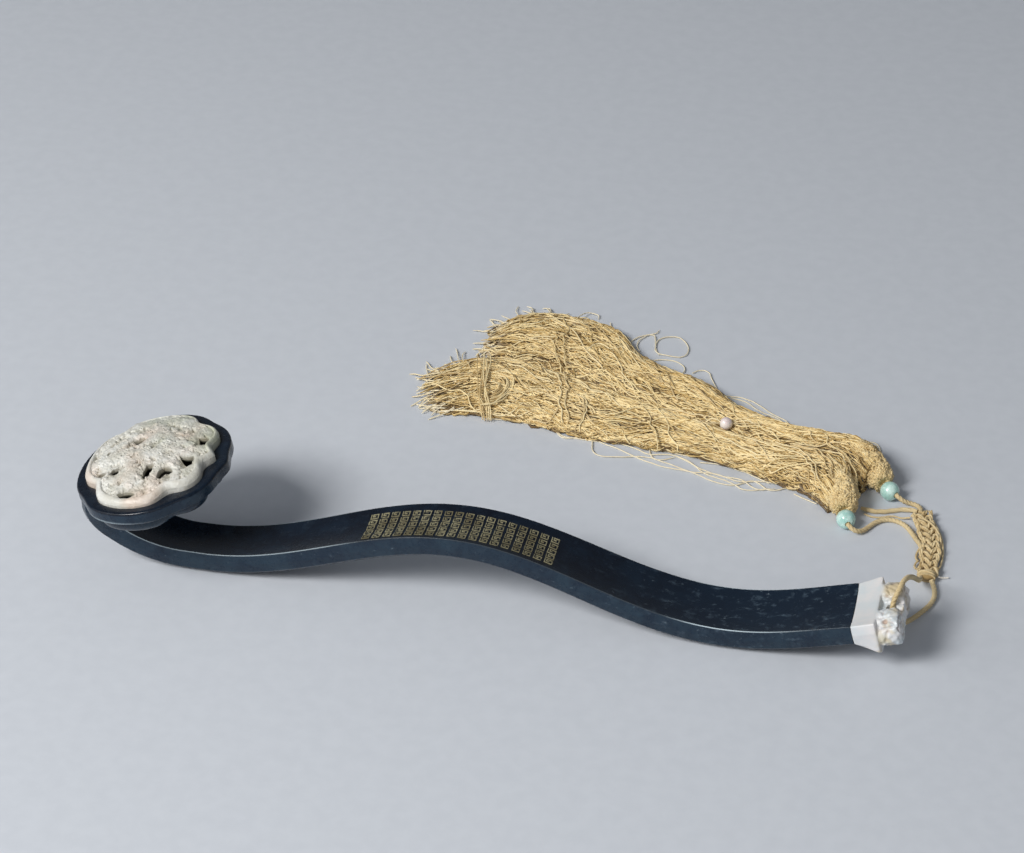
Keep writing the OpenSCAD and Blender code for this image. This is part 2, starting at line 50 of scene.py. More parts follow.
class Wire:
    # one socket of a node tree, so that sums of sockets read as plain maths
    def __init__(self, tree, socket=None):
        self.tree = tree
        self.socket = socket

    def node(self, kind, settings=None, inputs=None, out=0):
        made = self.tree.nodes.new(kind)
        for key, value in (settings or {}).items():
            setattr(made, key, value)
        for key, value in (inputs or {}).items():
            slot = made.inputs[key] if isinstance(key, int) else next(
                s for s in made.inputs if s.name == key and s.enabled)
            for part in value if isinstance(value, list) else [value]:
                if isinstance(part, Wire):
                    self.tree.links.new(part.socket, slot)
                else:
                    slot.default_value = part
        shown = [s for s in made.outputs if s.enabled]
        socket = None
        if shown:
            socket = shown[out] if isinstance(out, int) else next(s for s in shown if s.name == out)
        return Wire(self.tree, socket)

    def also(self, name):
        # another output of the node that this wire comes from
        return Wire(self.tree, self.socket.node.outputs[name])

    def maths(self, kind, *parts):
        return self.node("ShaderNodeMath", {"operation": kind}, dict(enumerate(parts)))

    def __add__(self, other):
        return self.maths("ADD", self, other)

    def __sub__(self, other):
        return self.maths("SUBTRACT", self, other)

    def __mul__(self, other):
        return self.maths("MULTIPLY", self, other)

    def __truediv__(self, other):
        return self.maths("DIVIDE", self, other)

    def __pow__(self, other):
        return self.maths("POWER", self, other)

    def __radd__(self, other):
        return self.maths("ADD", other, self)

    def __rsub__(self, other):
        return self.maths("SUBTRACT", other, self)

    def __rmul__(self, other):
        return self.maths("MULTIPLY", other, self)

    def named(self, name, kind="FLOAT"):
        return self.node("GeometryNodeInputNamedAttribute", {"data_type": kind}, {"Name": name}, out="Attribute")

    def stored(self, name, value, domain="POINT"):
        return self.node("GeometryNodeStoreNamedAttribute", {"domain": domain, "data_type": "FLOAT"}, {
            "Geometry": self, "Name": name, "Value": value})

    def copied(self, amount):
        return self.node("GeometryNodeDuplicateElements", {"domain": "SPLINE"}, {"Geometry": self, "Amount": amount})

    def chance(self, low, high, seed, who=None):
        # a random value for each point, or for each number that is given
        inputs = {"Min": low, "Max": high, "Seed": seed}
        if who:
            inputs["ID"] = who
        return self.node("FunctionNodeRandomValue", {"data_type": "FLOAT"}, inputs)

    def clip(self, low=0.0, high=1.0):
        return self.maths("MINIMUM", self.maths("MAXIMUM", self, low), high)

    def between(self, low, high):
        # 0 up to low, 1 from high on, smooth between them
        return self.node("ShaderNodeMapRange", {"interpolation_type": "SMOOTHSTEP"},
                         {0: self, 1: low, 2: high, 3: 0.0, 4: 1.0})

    def vector(self, kind, *parts, out=0):
        return self.node("ShaderNodeVectorMath", {"operation": kind}, dict(enumerate(parts)), out)

    def axis(self, name):
        return self.node("ShaderNodeSeparateXYZ", {}, {0: self}, out=name)

    def joined(self, x, y, z):
        return self.node("ShaderNodeCombineXYZ", {}, {0: x, 1: y, 2: z})

    def tinted(self, first, second):
        # this wire is the share of the second colour
        ends = [c if isinstance(c, Wire) else (*c, 1) for c in (first, second)]
        return self.node("ShaderNodeMix", {"data_type": "RGBA"}, {0: self, 6: ends[0], 7: ends[1]})


class Finish:
    # one material, with the noises and bumps that it is made of
    def __init__(self, name):
        self.material = bpy.data.materials.new(name)
        self.material.use_nodes = True
        self.tree = self.material.node_tree
        self.tree.nodes.clear()
        self.start = Wire(self.tree)
        self.place = self.start.node("ShaderNodeTexCoord", out="Object")

    def noise(self, scale, detail=4.0, rough=0.5, at=None, distortion=0.0):
        return self.start.node("ShaderNodeTexNoise", {}, {
            "Vector": at or self.place, "Scale": scale, "Detail": detail,
            "Roughness": rough, "Distortion": distortion})

    def veins(self, scale, at=None):
        return self.start.node("ShaderNodeTexVoronoi", {"feature": "DISTANCE_TO_EDGE"},
                               {"Vector": at or self.place, "Scale": scale})

    def stretched(self, x, y, z, turn=(0, 0, 0)):
        return self.start.node("ShaderNodeMapping", {}, {
            "Vector": self.place, "Scale": (x, y, z), "Rotation": turn})

    def attribute(self, name):
        return self.start.node("ShaderNodeAttribute", {"attribute_name": name}, out="Fac")

    def bump(self, height, depth, under=None):
        inputs = {"Height": height, "Distance": depth, "Strength": 1.0}
        if under:
            inputs["Normal"] = under
        return self.start.node("ShaderNodeBump", {}, inputs)

    def done(self, colour, rough, normal=None, **fixed):
        inputs = {"Base Color": colour, "Roughness": rough}
        if normal:
            inputs["Normal"] = normal
        inputs.update({key.replace("_", " "): value for key, value in fixed.items()})
        shader = self.start.node("ShaderNodeBsdfPrincipled", {}, inputs)
        self.start.node("ShaderNodeOutputMaterial", {}, {"Surface": shader})
        return self.material


def newTree(name, inputs):
    tree = bpy.data.node_groups.new(name, "GeometryNodeTree")
    tree.interface.new_socket("Geometry", in_out="INPUT", socket_type="NodeSocketGeometry")
    tree.interface.new_socket("Geometry", in_out="OUTPUT", socket_type="NodeSocketGeometry")
    for label, kind, value in inputs + [("Material", "Material", None)]:
        socket = tree.interface.new_socket(label, in_out="INPUT", socket_type="NodeSocket" + kind)
        if value is not None:
            socket.default_value = value
    given = tree.nodes.new("NodeGroupInput")
    return tree, Wire(tree), {s.name: Wire(tree, s) for s in given.outputs if s.name}


def closeTree(geometry, material):
    plain = geometry.node("GeometryNodeRealizeInstances", {}, {"Geometry": geometry})
    painted = plain.node("GeometryNodeSetMaterial", {}, {"Geometry": plain, "Material": material})
    painted.node("NodeGroupOutput", {}, {0: painted})


def settled(obj):
    # what the modifiers make becomes the object's own mesh
    bpy.context.view_layer.update()
    evaluated = obj.evaluated_get(bpy.context.evaluated_depsgraph_get())
    mesh = bpy.data.meshes.new_from_object(evaluated)
    old = obj.data
    obj.modifiers.clear()
    obj.data = mesh
    bpy.data.meshes.remove(old)
    mesh.name = obj.name
    return obj


def grown(obj, tree, values):
    modifier = obj.modifiers.new("grow", "NODES")
    modifier.node_group = tree
    for item in tree.interface.items_tree:
        if item.in_out == "INPUT" and item.name in values:
            modifier[item.identifier] = values[item.name]
    return settled(obj)


def newObject(name, points, faces=(), edges=(), material=None):
    mesh = bpy.data.meshes.new(name)
    mesh.from_pydata([tuple(p) for p in points], list(edges), [tuple(f) for f in faces])
    mesh.update()
    if material:
        mesh.materials.append(material)
    obj = bpy.data.objects.new(name, mesh)
    scene.collection.objects.link(obj)
    return obj


def polyline(name, points):
    return newObject(name, points, edges=[(i, i + 1) for i in range(len(points) - 1)])


def addAttribute(obj, name, values, kind="FLOAT"):
    made = obj.data.attributes.new(name, kind, "POINT")
    made.data.foreach_set("vector" if kind == "FLOAT_VECTOR" else "value", np.array(values, np.float32).ravel())


def corners(obj):
    found = np.zeros(len(obj.data.vertices) * 3, np.float32)
    obj.data.vertices.foreach_get("co", found)
    return found.reshape(-1, 3).astype(float)


def shaded(obj, sharpOver=None):
    obj.data.shade_smooth()
    if sharpOver:
        obj.data.set_sharp_from_angle(angle=math.radians(sharpOver))
    return obj


def joinedUp(first, *others):
    # several objects become one
    for other in others:
        for slot in other.data.materials:
            if slot.name not in first.data.materials:
                first.data.materials.append(slot)
    with bpy.context.temp_override(active_object=first, selected_editable_objects=[first, *others]):
        bpy.ops.object.join()
    return first


def cut(obj, tool, kind="DIFFERENCE"):
    # worked in millimetres, where small faces are safe
    for each in (obj, tool):
        each.data.transform(Matrix.Scale(1 / mm, 4))
    modifier = obj.modifiers.new("cut", "BOOLEAN")
    modifier.operation, modifier.solver, modifier.object = kind, "EXACT", tool
    settled(obj)
    obj.data.transform(Matrix.Scale(mm, 4))
    bpy.data.objects.remove(tool)
    return obj


def skinOver(rings, loop=False):
    # faces over rings of as many points each; the ends get a hub, or meet in a loop
    count, last = len(rings[0]), len(rings)
    points = [tuple(p) for ring in rings for p in ring]
    faces = []
    for r in range(last if loop else last - 1):
        for k in range(count):
            a, b = r * count + k, r * count + (k + 1) % count
            c, d = (r + 1) % last * count + (k + 1) % count, (r + 1) % last * count + k
            faces.append((a, b, c, d))
    if not loop:
        points += [tuple(np.mean(rings[0], axis=0)), tuple(np.mean(rings[-1], axis=0))]
        base = (last - 1) * count
        for k in range(count):
            faces.append((len(points) - 2, (k + 1) % count, k))
            faces.append((len(points) - 1, base + k, base + (k + 1) % count))
    return points, faces


def curveThrough(points, step):
    # an even, smooth line through points, and its length
    p = np.array(points, float)
    p = np.vstack([2 * p[0] - p[1], p, 2 * p[-1] - p[-2]])
    found = []
    for a, b, c, d in zip(p, p[1:], p[2:], p[3:]):
        k0, k1, k2 = (max(np.linalg.norm(q), 1e-9) ** 0.5 for q in (b - a, c - b, d - c))
        m1 = (c - b) + k1 * ((b - a) / k0 - (c - a) / (k0 + k1))
        m2 = (c - b) + k1 * ((d - c) / k2 - (d - b) / (k1 + k2))
        for t in np.linspace(0, 1, 20, endpoint=False):
            found.append((2 * t**3 - 3 * t**2 + 1) * b + (t**3 - 2 * t**2 + t) * m1
                         + (3 * t**2 - 2 * t**3) * c + (t**3 - t**2) * m2)
    found = np.array(found + [p[-2]])
    along = np.concatenate([[0], np.cumsum(np.linalg.norm(np.diff(found, axis=0), axis=1))])
    places = np.linspace(0, along[-1], max(3, int(round(along[-1] / step)) + 1))
    return np.column_stack([np.interp(places, along, found[:, k]) for k in range(found.shape[1])]), along[-1]


print("helpers: ready")

# the camera stands where the photograph was taken from
cameraSpot = Vector((0.2665, -1.1463, 0.9114))
ahead = Vector((-0.17837, 0.80459, -0.56641)).normalized()
aside = Vector((0.97630, 0.21644, 0.0)).normalized()
above = aside.cross(ahead)
lens = bpy.data.cameras.new("camera")
lens.lens, lens.sensor_width, lens.sensor_fit = 105.47, 36.0, "HORIZONTAL"
lens.clip_start, lens.clip_end = 0.05, 20
camera = bpy.data.objects.new("camera", lens)
turned = Matrix((aside, above, -ahead)).transposed().to_4x4()
turned.translation = cameraSpot
camera.matrix_world = turned
scene.collection.objects.link(camera)
scene.camera = camera
print("camera: placed")


# finishes of silk
silkColours = {
    "bright": (0.84, 0.71, 0.45),
    "plain": (0.63, 0.47, 0.22),
    "deep": (0.30, 0.19, 0.07),
    "bleached": (0.78, 0.74, 0.66),
}


def silkFinish(name, bright, plain, deep, fibre=2600.0, tintShare=0.55):
    silk = Finish(name)
    tint = silk.attribute("threadTint")
    cloud = silk.noise(38.0, 3.0)
    fine = silk.noise(900.0, 2.0)
    share = (tint * tintShare + cloud * 0.6 + fine * 0.3 - 0.35).clip()
    colour = share.tinted(deep, plain)
    colour = (share * 1.3 - 0.35).clip().tinted(colour, bright)
    strands = silk.noise(fibre, 2.0, 0.6)
    normal = silk.bump(strands, 0.00006)
    return silk.done(colour, 0.6 + 0.25 * fine, normal, Sheen_Weight=0.2, Sheen_Roughness=0.45,
                     Specular_IOR_Level=0.35)


silkCord = silkFinish("silkCord", silkColours["bright"], silkColours["plain"], silkColours["deep"])
silkThread = silkFinish("silkThread", silkColours["bright"], silkColours["plain"], silkColours["deep"])
silkNet = silkFinish("silkNet", (0.95, 0.79, 0.47), (0.76, 0.56, 0.25), (0.40, 0.26, 0.095))
bleachedThread = silkFinish("bleachedThread", (0.86, 0.84, 0.80), silkColours["bleached"], (0.5, 0.42, 0.3))

# cords: a twisted cord is a lobed ring swept along its line and turned on the way
def twistTree():
    tree, start, given = newTree("twistedCord", [
        ("Radius", "Float", 0.00125), ("Plies", "Float", 3.0), ("Turns per metre", "Float", 140.0),
        ("Ply depth", "Float", 0.2), ("Sides", "Int", 18), ("Tip taper", "Float", 0.0)])
    line = start.node("GeometryNodeMeshToCurve", {}, {"Mesh": given["Geometry"]})
    travelled = start.node("GeometryNodeSplineParameter", out="Length")
    line = start.node("GeometryNodeSetCurveTilt", {}, {
        "Curve": line, "Tilt": travelled * given["Turns per metre"] * (2 * math.pi)})
    ring = start.node("GeometryNodeCurvePrimitiveCircle", {}, {
        "Resolution": given["Sides"], "Radius": given["Radius"]})
    angle = start.node("GeometryNodeInputIndex") * (1.0 * math.pi) * given["Plies"] / given["Sides"]
    swell = start.maths("ABSOLUTE", start.maths("COSINE", angle)) * given["Ply depth"] + (1.0 - given["Ply depth"])
    place = start.node("GeometryNodeInputPosition")
    ring = start.node("GeometryNodeSetPosition", {}, {
        "Geometry": ring, "Position": place.vector("MULTIPLY", place, start.joined(swell, swell, swell))})
    part = start.node("GeometryNodeSplineParameter", out="Factor")
    tip = 1.0 - part.between(0.9, 1.0) * given["Tip taper"]
    tube = start.node("GeometryNodeCurveToMesh", {}, {
        "Curve": line, "Profile Curve": ring, "Scale": tip, "Fill Caps": True})
    closeTree(tube, given["Material"])
    return tree


twistedCord = twistTree()

# routes of the cords, in metres, the same as the construction's
hangingRoute = [
    (.2135, .0575, .0026), (.2156, .052, .0018), (.2162, .0455, .0015), (.2146, .039, .0015),
    (.2116, .033, .0016), (.2086, .027, .0022), (.206, .021, .004), (.2038, .0154, .0066),
    (.202, .010, .0094), (.2004, .0052, .0128), (.1997, .0016, .017), (.1995, .0002, .0215),
    (.1987, .0002, .026), (.199, .0014, .0304), (.2008, .0046, .034), (.202, .010, .0354),
    (.2034, .016, .0336), (.2044, .022, .030), (.2052, .028, .0256), (.206, .0345, .0204),
    (.2068, .041, .015), (.2074, .0475, .0096), (.2076, .053, .0054), (.2078, .058, .0034)]
leadBackRoute = [
    (.2021, .1134, .0027), (.2018, .1174, .0021), (.1994, .1212, .0015), (.1958, .1222, .0016),
    (.192, .1214, .0032), (.1885, .1225, .0053), (.1807, .1287, .0053)]
leadFrontRoute = [
    (.2022, .0908, .0024), (.1994, .0966, .0017), (.196, .102, .0015), (.191, .1054, .0015),
    (.1856, .1058, .0015), (.1808, .1026, .0015), (.1776, .0976, .0015), (.1748, .0926, .0018),
    (.1712, .0894, .0034), (.1674, .0914, .0053), (.1638, .101, .0053)]
spareRoute = [
    (.2004, .115, .0022), (.195, .1166, .0016), (.189, .1146, .0015), (.183, .112, .0015),
    (.177, .1114, .0015), (.1716, .1126, .0017)]
strandRoute = [
    (.1971, .1093, .0019), (.1924, .1094, .0007), (.1894, .1104, .0007), (.186, .1096, .0007),
    (.183, .108, .0007), (.180, .1074, .0007), (.177, .1076, .0007), (.1736, .109, .0008)]
threadEndRoute = [(.216, .0622, .002), (.2174, .0628, .0012), (.2192, .0636, .0007), (.2215, .0644, .0007)]
tieRoute = [
    (-.028, .1444, .0016), (-.030, .1496, .0068), (-.0326, .160, .0094), (-.036, .176, .010),
    (-.0394, .192, .0094), (-.042, .203, .007), (-.0434, .2078, .0018)]
pearlRoute = [
    (.112, .1638, .0109), (.105, .1638, .0102), (.099, .163, .0097), (.087, .161, .0097),
    (.081, .1604, .0089), (.075, .1602, .0082)]

cordSizes = {
    "cordRadius": 0.00125,
    "strandRadius": 0.0005,
    "cordTurns": 150.0,     # turns of the plies in a metre
    "strandTurns": 420.0,
    "plyDepth": 0.24,
    "swell": 1.08,          # the plies' crests stand out over the cord's mean radius
}


def makeCord(name, route, node, radius, material, turns, tip=0.0, plies=3.0, tint=0.95, easing=22):
    line, length = curveThrough(route, radius * 0.55)
    for _ in range(easing):     # rounds of smoothing, so that no bend is too tight
        line[1:-1] = (line[:-2] + 2 * line[1:-1] + line[2:]) / 4
    length = float(np.linalg.norm(np.diff(line, axis=0), axis=1).sum())
    obj = polyline(name, line)
    grown(obj, twistedCord, {"Radius": radius * cordSizes["swell"], "Turns per metre": turns, "Plies": plies,
                             "Ply depth": cordSizes["plyDepth"], "Tip taper": tip, "Material": material})
    addAttribute(obj, "threadTint", np.full(len(obj.data.vertices), tint))
    shaded(obj)
    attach(obj, "scepter")
    if node:
        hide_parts(node)
    return obj, line, length


def freeCord(line):
    tuple(line[0])
    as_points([tuple(p) for p in line[::2]] + [tuple(line[-1])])


thick, thin = cordSizes["cordRadius"], cordSizes["strandRadius"]
hangingCord, hangingLine, hangingLength = makeCord(
    "hangingCord", hangingRoute, "hanging_cord", thick, silkCord, cordSizes["cordTurns"])
leadBack, leadBackLine, leadBackLength = makeCord(
    "leadCordBack", leadBackRoute, "lead_cord_back", thick, silkCord, cordSizes["cordTurns"],
    easing=4)
leadFront, leadFrontLine, leadFrontLength = makeCord(
    "leadCordFront", leadFrontRoute, "lead_cord_front", thick, silkCord, cordSizes["cordTurns"])
_, _, spareLength = makeCord(
    "spareCord", spareRoute, "spare_cord", thick * 0.94, silkCord, 60.0, 0.3)
_, _, strandLength = makeCord(
    "thinStrand", strandRoute, "thin_strand", thin, silkCord, cordSizes["strandTurns"], 0.3, 2.0)
makeCord(
    "knotThreadEnd", threadEndRoute, "knot_thread_end", thin, bleachedThread, 300.0, 0.4, 2.0)
makeCord(
    "pearlStrand", pearlRoute, "pearl_strand", thin * 0.8, silkThread, cordSizes["strandTurns"],
    0.0, 2.0)
print("cords: hanging %.0f mm, leads %.0f and %.0f mm, spare %.0f mm, strand %.0f mm" % tuple(
    1000 * v for v in (hangingLength, leadBackLength, leadFrontLength, spareLength, strandLength)))


# drilled beads
beadSizes = {"beadRadius": 5.0, "beadBore": 1.45, "pearlRadius": 3.4, "pearlBore": 0.6, "rimRound": 0.35}


def drilledBall(name, start, end, radius, bore, wobble=0.0, seed=0):
    rng = np.random.default_rng(seed)
    rim = beadSizes["rimRound"]
    first = math.asin((bore + rim) / radius)
    outer = [(radius * math.sin(t), radius * math.cos(t)) for t in np.linspace(first, math.pi - first, 34)]
    top = outer[0][1]
    turn = [(bore + rim * (1 - math.sin(t)), top - rim * 0.25 - rim * (1 - math.cos(t)) * 0.6)
            for t in np.linspace(0.25, math.pi / 2, 4)]
    hole = [(bore, z) for z in np.linspace(top - rim, -top + rim, 6)][1:-1]
    outline = outer + [(r, -z) for r, z in turn] + [(r, -z) for r, z in hole] + turn[::-1]
    waves = rng.normal(size=(6, 3))
    rings = []
    for r, z in outline:
        ring = []
        for a in np.linspace(0, 2 * math.pi, 56, endpoint=False):
            p = np.array([r * math.cos(a), r * math.sin(a), z])
            swell = 1 + wobble * sum(math.sin(3.0 * float(w @ p) / radius + i) for i, w in enumerate(waves)) / 6
            ring.append(p * swell * mm)
        rings.append(ring)
    points, faces = skinOver(rings, loop=True)
    way = (Vector(end) - Vector(start)).normalized()
    place = Matrix.Translation((Vector(start) + Vector(end)) / 2) @ way.to_track_quat("Z", "Y").to_matrix().to_4x4()
    obj = newObject(name, [place @ Vector(p) for p in points], [f[::-1] for f in faces])
    return shaded(obj, 50)


stone = Finish("turquoiseStone")
patch = stone.noise(240.0, 4.0, 0.55, distortion=0.6)
crackle = stone.veins(420.0, stone.stretched(1, 1.4, 0.8))
colour = patch.between(0.35, 0.7).tinted((0.36, 0.62, 0.56), (0.64, 0.85, 0.79))
colour = ((0.05 - crackle).clip() * 9.0).clip().tinted(colour, (0.30, 0.40, 0.32))
turquoise = stone.done(colour, 0.16 + 0.16 * patch, stone.bump(stone.noise(700.0, 3.0), 0.00004),
                       Coat_Roughness=0.08, Coat_Weight=0.35)

pearly = Finish("pearlNacre")
bloom = pearly.noise(260.0, 2.0)
colour = bloom.between(0.3, 0.7).tinted((0.78, 0.62, 0.60), (0.86, 0.80, 0.76))
nacre = pearly.done(colour, 0.22 + 0.1 * bloom, pearly.bump(pearly.noise(800.0), 0.00003),
                    Coat_Weight=0.6, Coat_Roughness=0.1, Sheen_Weight=0.15)

beadPieces = {}
for name, node, body, line, radius, bore, material, slot, wobble in [
        ("beadBack", "bead_back", "back_bead", leadBackRoute[-2:], beadSizes["beadRadius"],
         beadSizes["beadBore"], turquoise, "turquoise", 0.012),
        ("beadFront", "bead_front", "front_bead", leadFrontRoute[-2:], beadSizes["beadRadius"],
         beadSizes["beadBore"], turquoise, "turquoise", 0.012),
        ("pearlBall", "pearl", "pearl_bead", pearlRoute[2:4], beadSizes["pearlRadius"],
         beadSizes["pearlBore"], nacre, "pearl", 0.05)]:
    ball = drilledBall(name, line[0], line[1], radius, bore, wobble, len(beadPieces) + 3)
    ball.data.materials.append(material)
    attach(ball, body)
    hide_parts(node)
    beadPieces[name] = ball
print("beads: made")

# the dark stone: a section swept along the shaft's line, and the lobed head on its neck
shaft = {
    "thick": 13.5, "humpRise": 30.5, "halfWave": 131.5, "crestX": -13.0,
    "crestWide": 29.4, "taper": 0.031, "hollow": 1.5, "sideSwell": 0.6, "underBevel": 4.0,
    "footGrind": 0.25, "tailRun": 62.0, "tailRise": 18.2, "tailReach": 100.0,
    "neckFlat": 7.0, "longBend": 60.0, "longTurn": 38.0, "shortBend": 20.0, "shortTurn": 52.0,
    "neckRise": 9.25, "neckWide": 40.0, "arris": 0.5, "softArris": 1.2, "step": 1.2,
}
troughZ = shaft["thick"] - shaft["footGrind"]
neckTrough, tailTrough = shaft["crestX"] - shaft["halfWave"], shaft["crestX"] + shaft["halfWave"]
tailX = tailTrough + shaft["tailRun"]


def topHeight(x):
    if x < neckTrough:
        return troughZ
    if x > tailTrough:
        return troughZ + shaft["tailRise"] * (1 - math.cos(math.pi * (x - tailTrough) / shaft["tailReach"])) / 2
    return troughZ + shaft["humpRise"] * (1 + math.cos(math.pi * (x - shaft["crestX"]) / shaft["halfWave"])) / 2


def shaftWide(x):
    return shaft["crestWide"] + shaft["taper"] * (x - shaft["crestX"])


bendX, halfThick = neckTrough - shaft["neckFlat"], shaft["thick"] / 2
midZ = troughZ - halfThick
turnLong, turnAll = math.radians(shaft["longTurn"]), math.radians(shaft["longTurn"] + shaft["shortTurn"])
crookX = bendX - (shaft["longBend"] - shaft["shortBend"]) * math.sin(turnLong)
crookZ = midZ + shaft["longBend"] - (shaft["longBend"] - shaft["shortBend"]) * math.cos(turnLong)


def shaftSpine():
    # the top line from the tail to the head, with the shaft's width at each place
    found = [(x, topHeight(x), shaftWide(x)) for x in np.arange(tailX, neckTrough, -shaft["step"])]
    found += [(x, troughZ, shaftWide(x)) for x in np.linspace(neckTrough, bendX, 6, endpoint=False)]
    bendWide = shaftWide(bendX)
    for a in np.linspace(0, turnAll, 70):
        reach = (shaft["longBend"] if a <= turnLong else shaft["shortBend"]) - halfThick
        x0, z0 = (bendX, midZ + shaft["longBend"]) if a <= turnLong else (crookX, crookZ)
        wide = bendWide + (shaft["neckWide"] - bendWide) * (a / turnAll) ** 1.5
        found.append((x0 - reach * math.sin(a), z0 - reach * math.cos(a), wide))
    top = found[-1]
    found += [(top[0], top[1] + t, shaft["neckWide"]) for t in (shaft["neckRise"] * 0.5, shaft["neckRise"])]
    return found


def roundedCorner(before, corner, after, radius, count):
    a, b = Vector(before) - Vector(corner), Vector(after) - Vector(corner)
    half = a.angle(b) / 2
    reach = min(radius / math.tan(half), a.length * 0.49, b.length * 0.49)
    start, end = Vector(corner) + a.normalized() * reach, Vector(corner) + b.normalized() * reach
    return [tuple((1 - t) ** 2 * start + 2 * t * (1 - t) * Vector(corner) + t * t * end)
            for t in np.linspace(0, 1, count)]


def shaftSection(wide):
    # the section from the middle of the top round; each point is of the top 0, the arris 1 or the flank 2
    half = wide / 2
    top = [(half * u, -shaft["hollow"] * (1 - u * u)) for u in np.linspace(0, 0.96, 13)]
    side = (half + shaft["sideSwell"], -0.4 * shaft["thick"])
    bevel, foot = (half, -0.75 * shaft["thick"]), (half - shaft["underBevel"], -shaft["thick"])
    line = [(*p, 0) for p in top] + [(*p, 1) for p in roundedCorner(top[-1], (half, 0.0), side, shaft["arris"], 6)]
    line += [(half + shaft["sideSwell"] * 0.12, -0.9, 2)]
    line += [(*p, 2) for p in roundedCorner((half, 0.0), side, bevel, 7.0, 5)]
    line += [(*p, 2) for p in roundedCorner(side, bevel, foot, shaft["softArris"], 5)]
    line += [(*p, 2) for p in roundedCorner(bevel, foot, (0.0, -shaft["thick"]), shaft["softArris"] * 1.4, 5)]
    line += [(foot[0] * 0.4, -shaft["thick"], 2)]
    return line + [(-y, z, kind) for y, z, kind in line[::-1][:-1]]


def sweepTree():
    tree, start, given = newTree("stoneSweep", [
        ("Section", "Object", None), ("Even half width", "Float", 0.0147), ("Floor", "Float", 0.0)])
    spine = start.node("GeometryNodeMeshToCurve", {}, {"Mesh": given["Geometry"]})
    section = start.node("GeometryNodeObjectInfo", {}, {0: given["Section"]}, out="Geometry")
    section = start.node("GeometryNodeMeshToCurve", {}, {"Mesh": section})
    body = start.node("GeometryNodeCurveToMesh", {}, {
        "Curve": spine, "Profile Curve": section, "Fill Caps": True})
    place = start.node("GeometryNodeInputPosition")
    extra = start.named("extraHalf")
    y = place.axis("Y")
    share = (y / (given["Even half width"] - shaft["underBevel"] * mm)).clip(-1.0, 1.0)
    z = start.maths("MAXIMUM", place.axis("Z"), given["Floor"])
    body = start.node("GeometryNodeSetPosition", {}, {
        "Geometry": body, "Position": start.joined(place.axis("X"), y + share * extra, z)})
    closeTree(body, given["Material"])
    return tree


headSize = {
    "halfLong": 39.0, "halfWide": 44.2, "tilt": 11.4, "thick": 15.0, "rim": 6.5, "tierIn": 4.0,
    "neckInset": 28.8, "neckSink": 9.2, "rimNotch": 0.035, "plaqueNotch": 0.12,
    "rimWide": 5.2, "recess": 4.0, "seatGap": 0.2, "columns": 360, "topRound": 1.3, "lipRound": 0.45,
}
notches, notchHalf = (14, 59, 136, 224, 301, 346), 11.0
headTilt = math.radians(headSize["tilt"])
headRise = headSize["thick"] - headSize["neckSink"]
headMid = np.array([
    crookX - shaft["shortBend"] + headSize["neckInset"] * math.cos(headTilt) - headRise * math.sin(headTilt),
    0.0,
    crookZ + shaft["neckRise"] + headSize["neckInset"] * math.sin(headTilt) + headRise * math.cos(headTilt)])


def inHead(points):
    # from the head's own frame, face at height 0, to the row's
    p = np.asarray(points, float)
    x = p[..., 0] * math.cos(headTilt) - p[..., 2] * math.sin(headTilt)
    z = p[..., 0] * math.sin(headTilt) + p[..., 2] * math.cos(headTilt)
    return (np.stack([x, p[..., 1], z], -1) + headMid) * mm


def lobedRadius(angle, inset, notch):
    # angle in degrees; the outline is an oval with soft notches
    a = np.radians(angle)
    halfLong, halfWide = headSize["halfLong"], headSize["halfWide"]
    oval = halfLong * halfWide / np.hypot(halfWide * np.cos(a), halfLong * np.sin(a))
    turned = np.array([np.minimum(abs(angle - m) % 360, 360 - abs(angle - m) % 360) for m in notches])
    dip = np.exp(-(turned / notchHalf) ** 2).max(axis=0)
    return (oval - inset) * (1 - notch * dip)


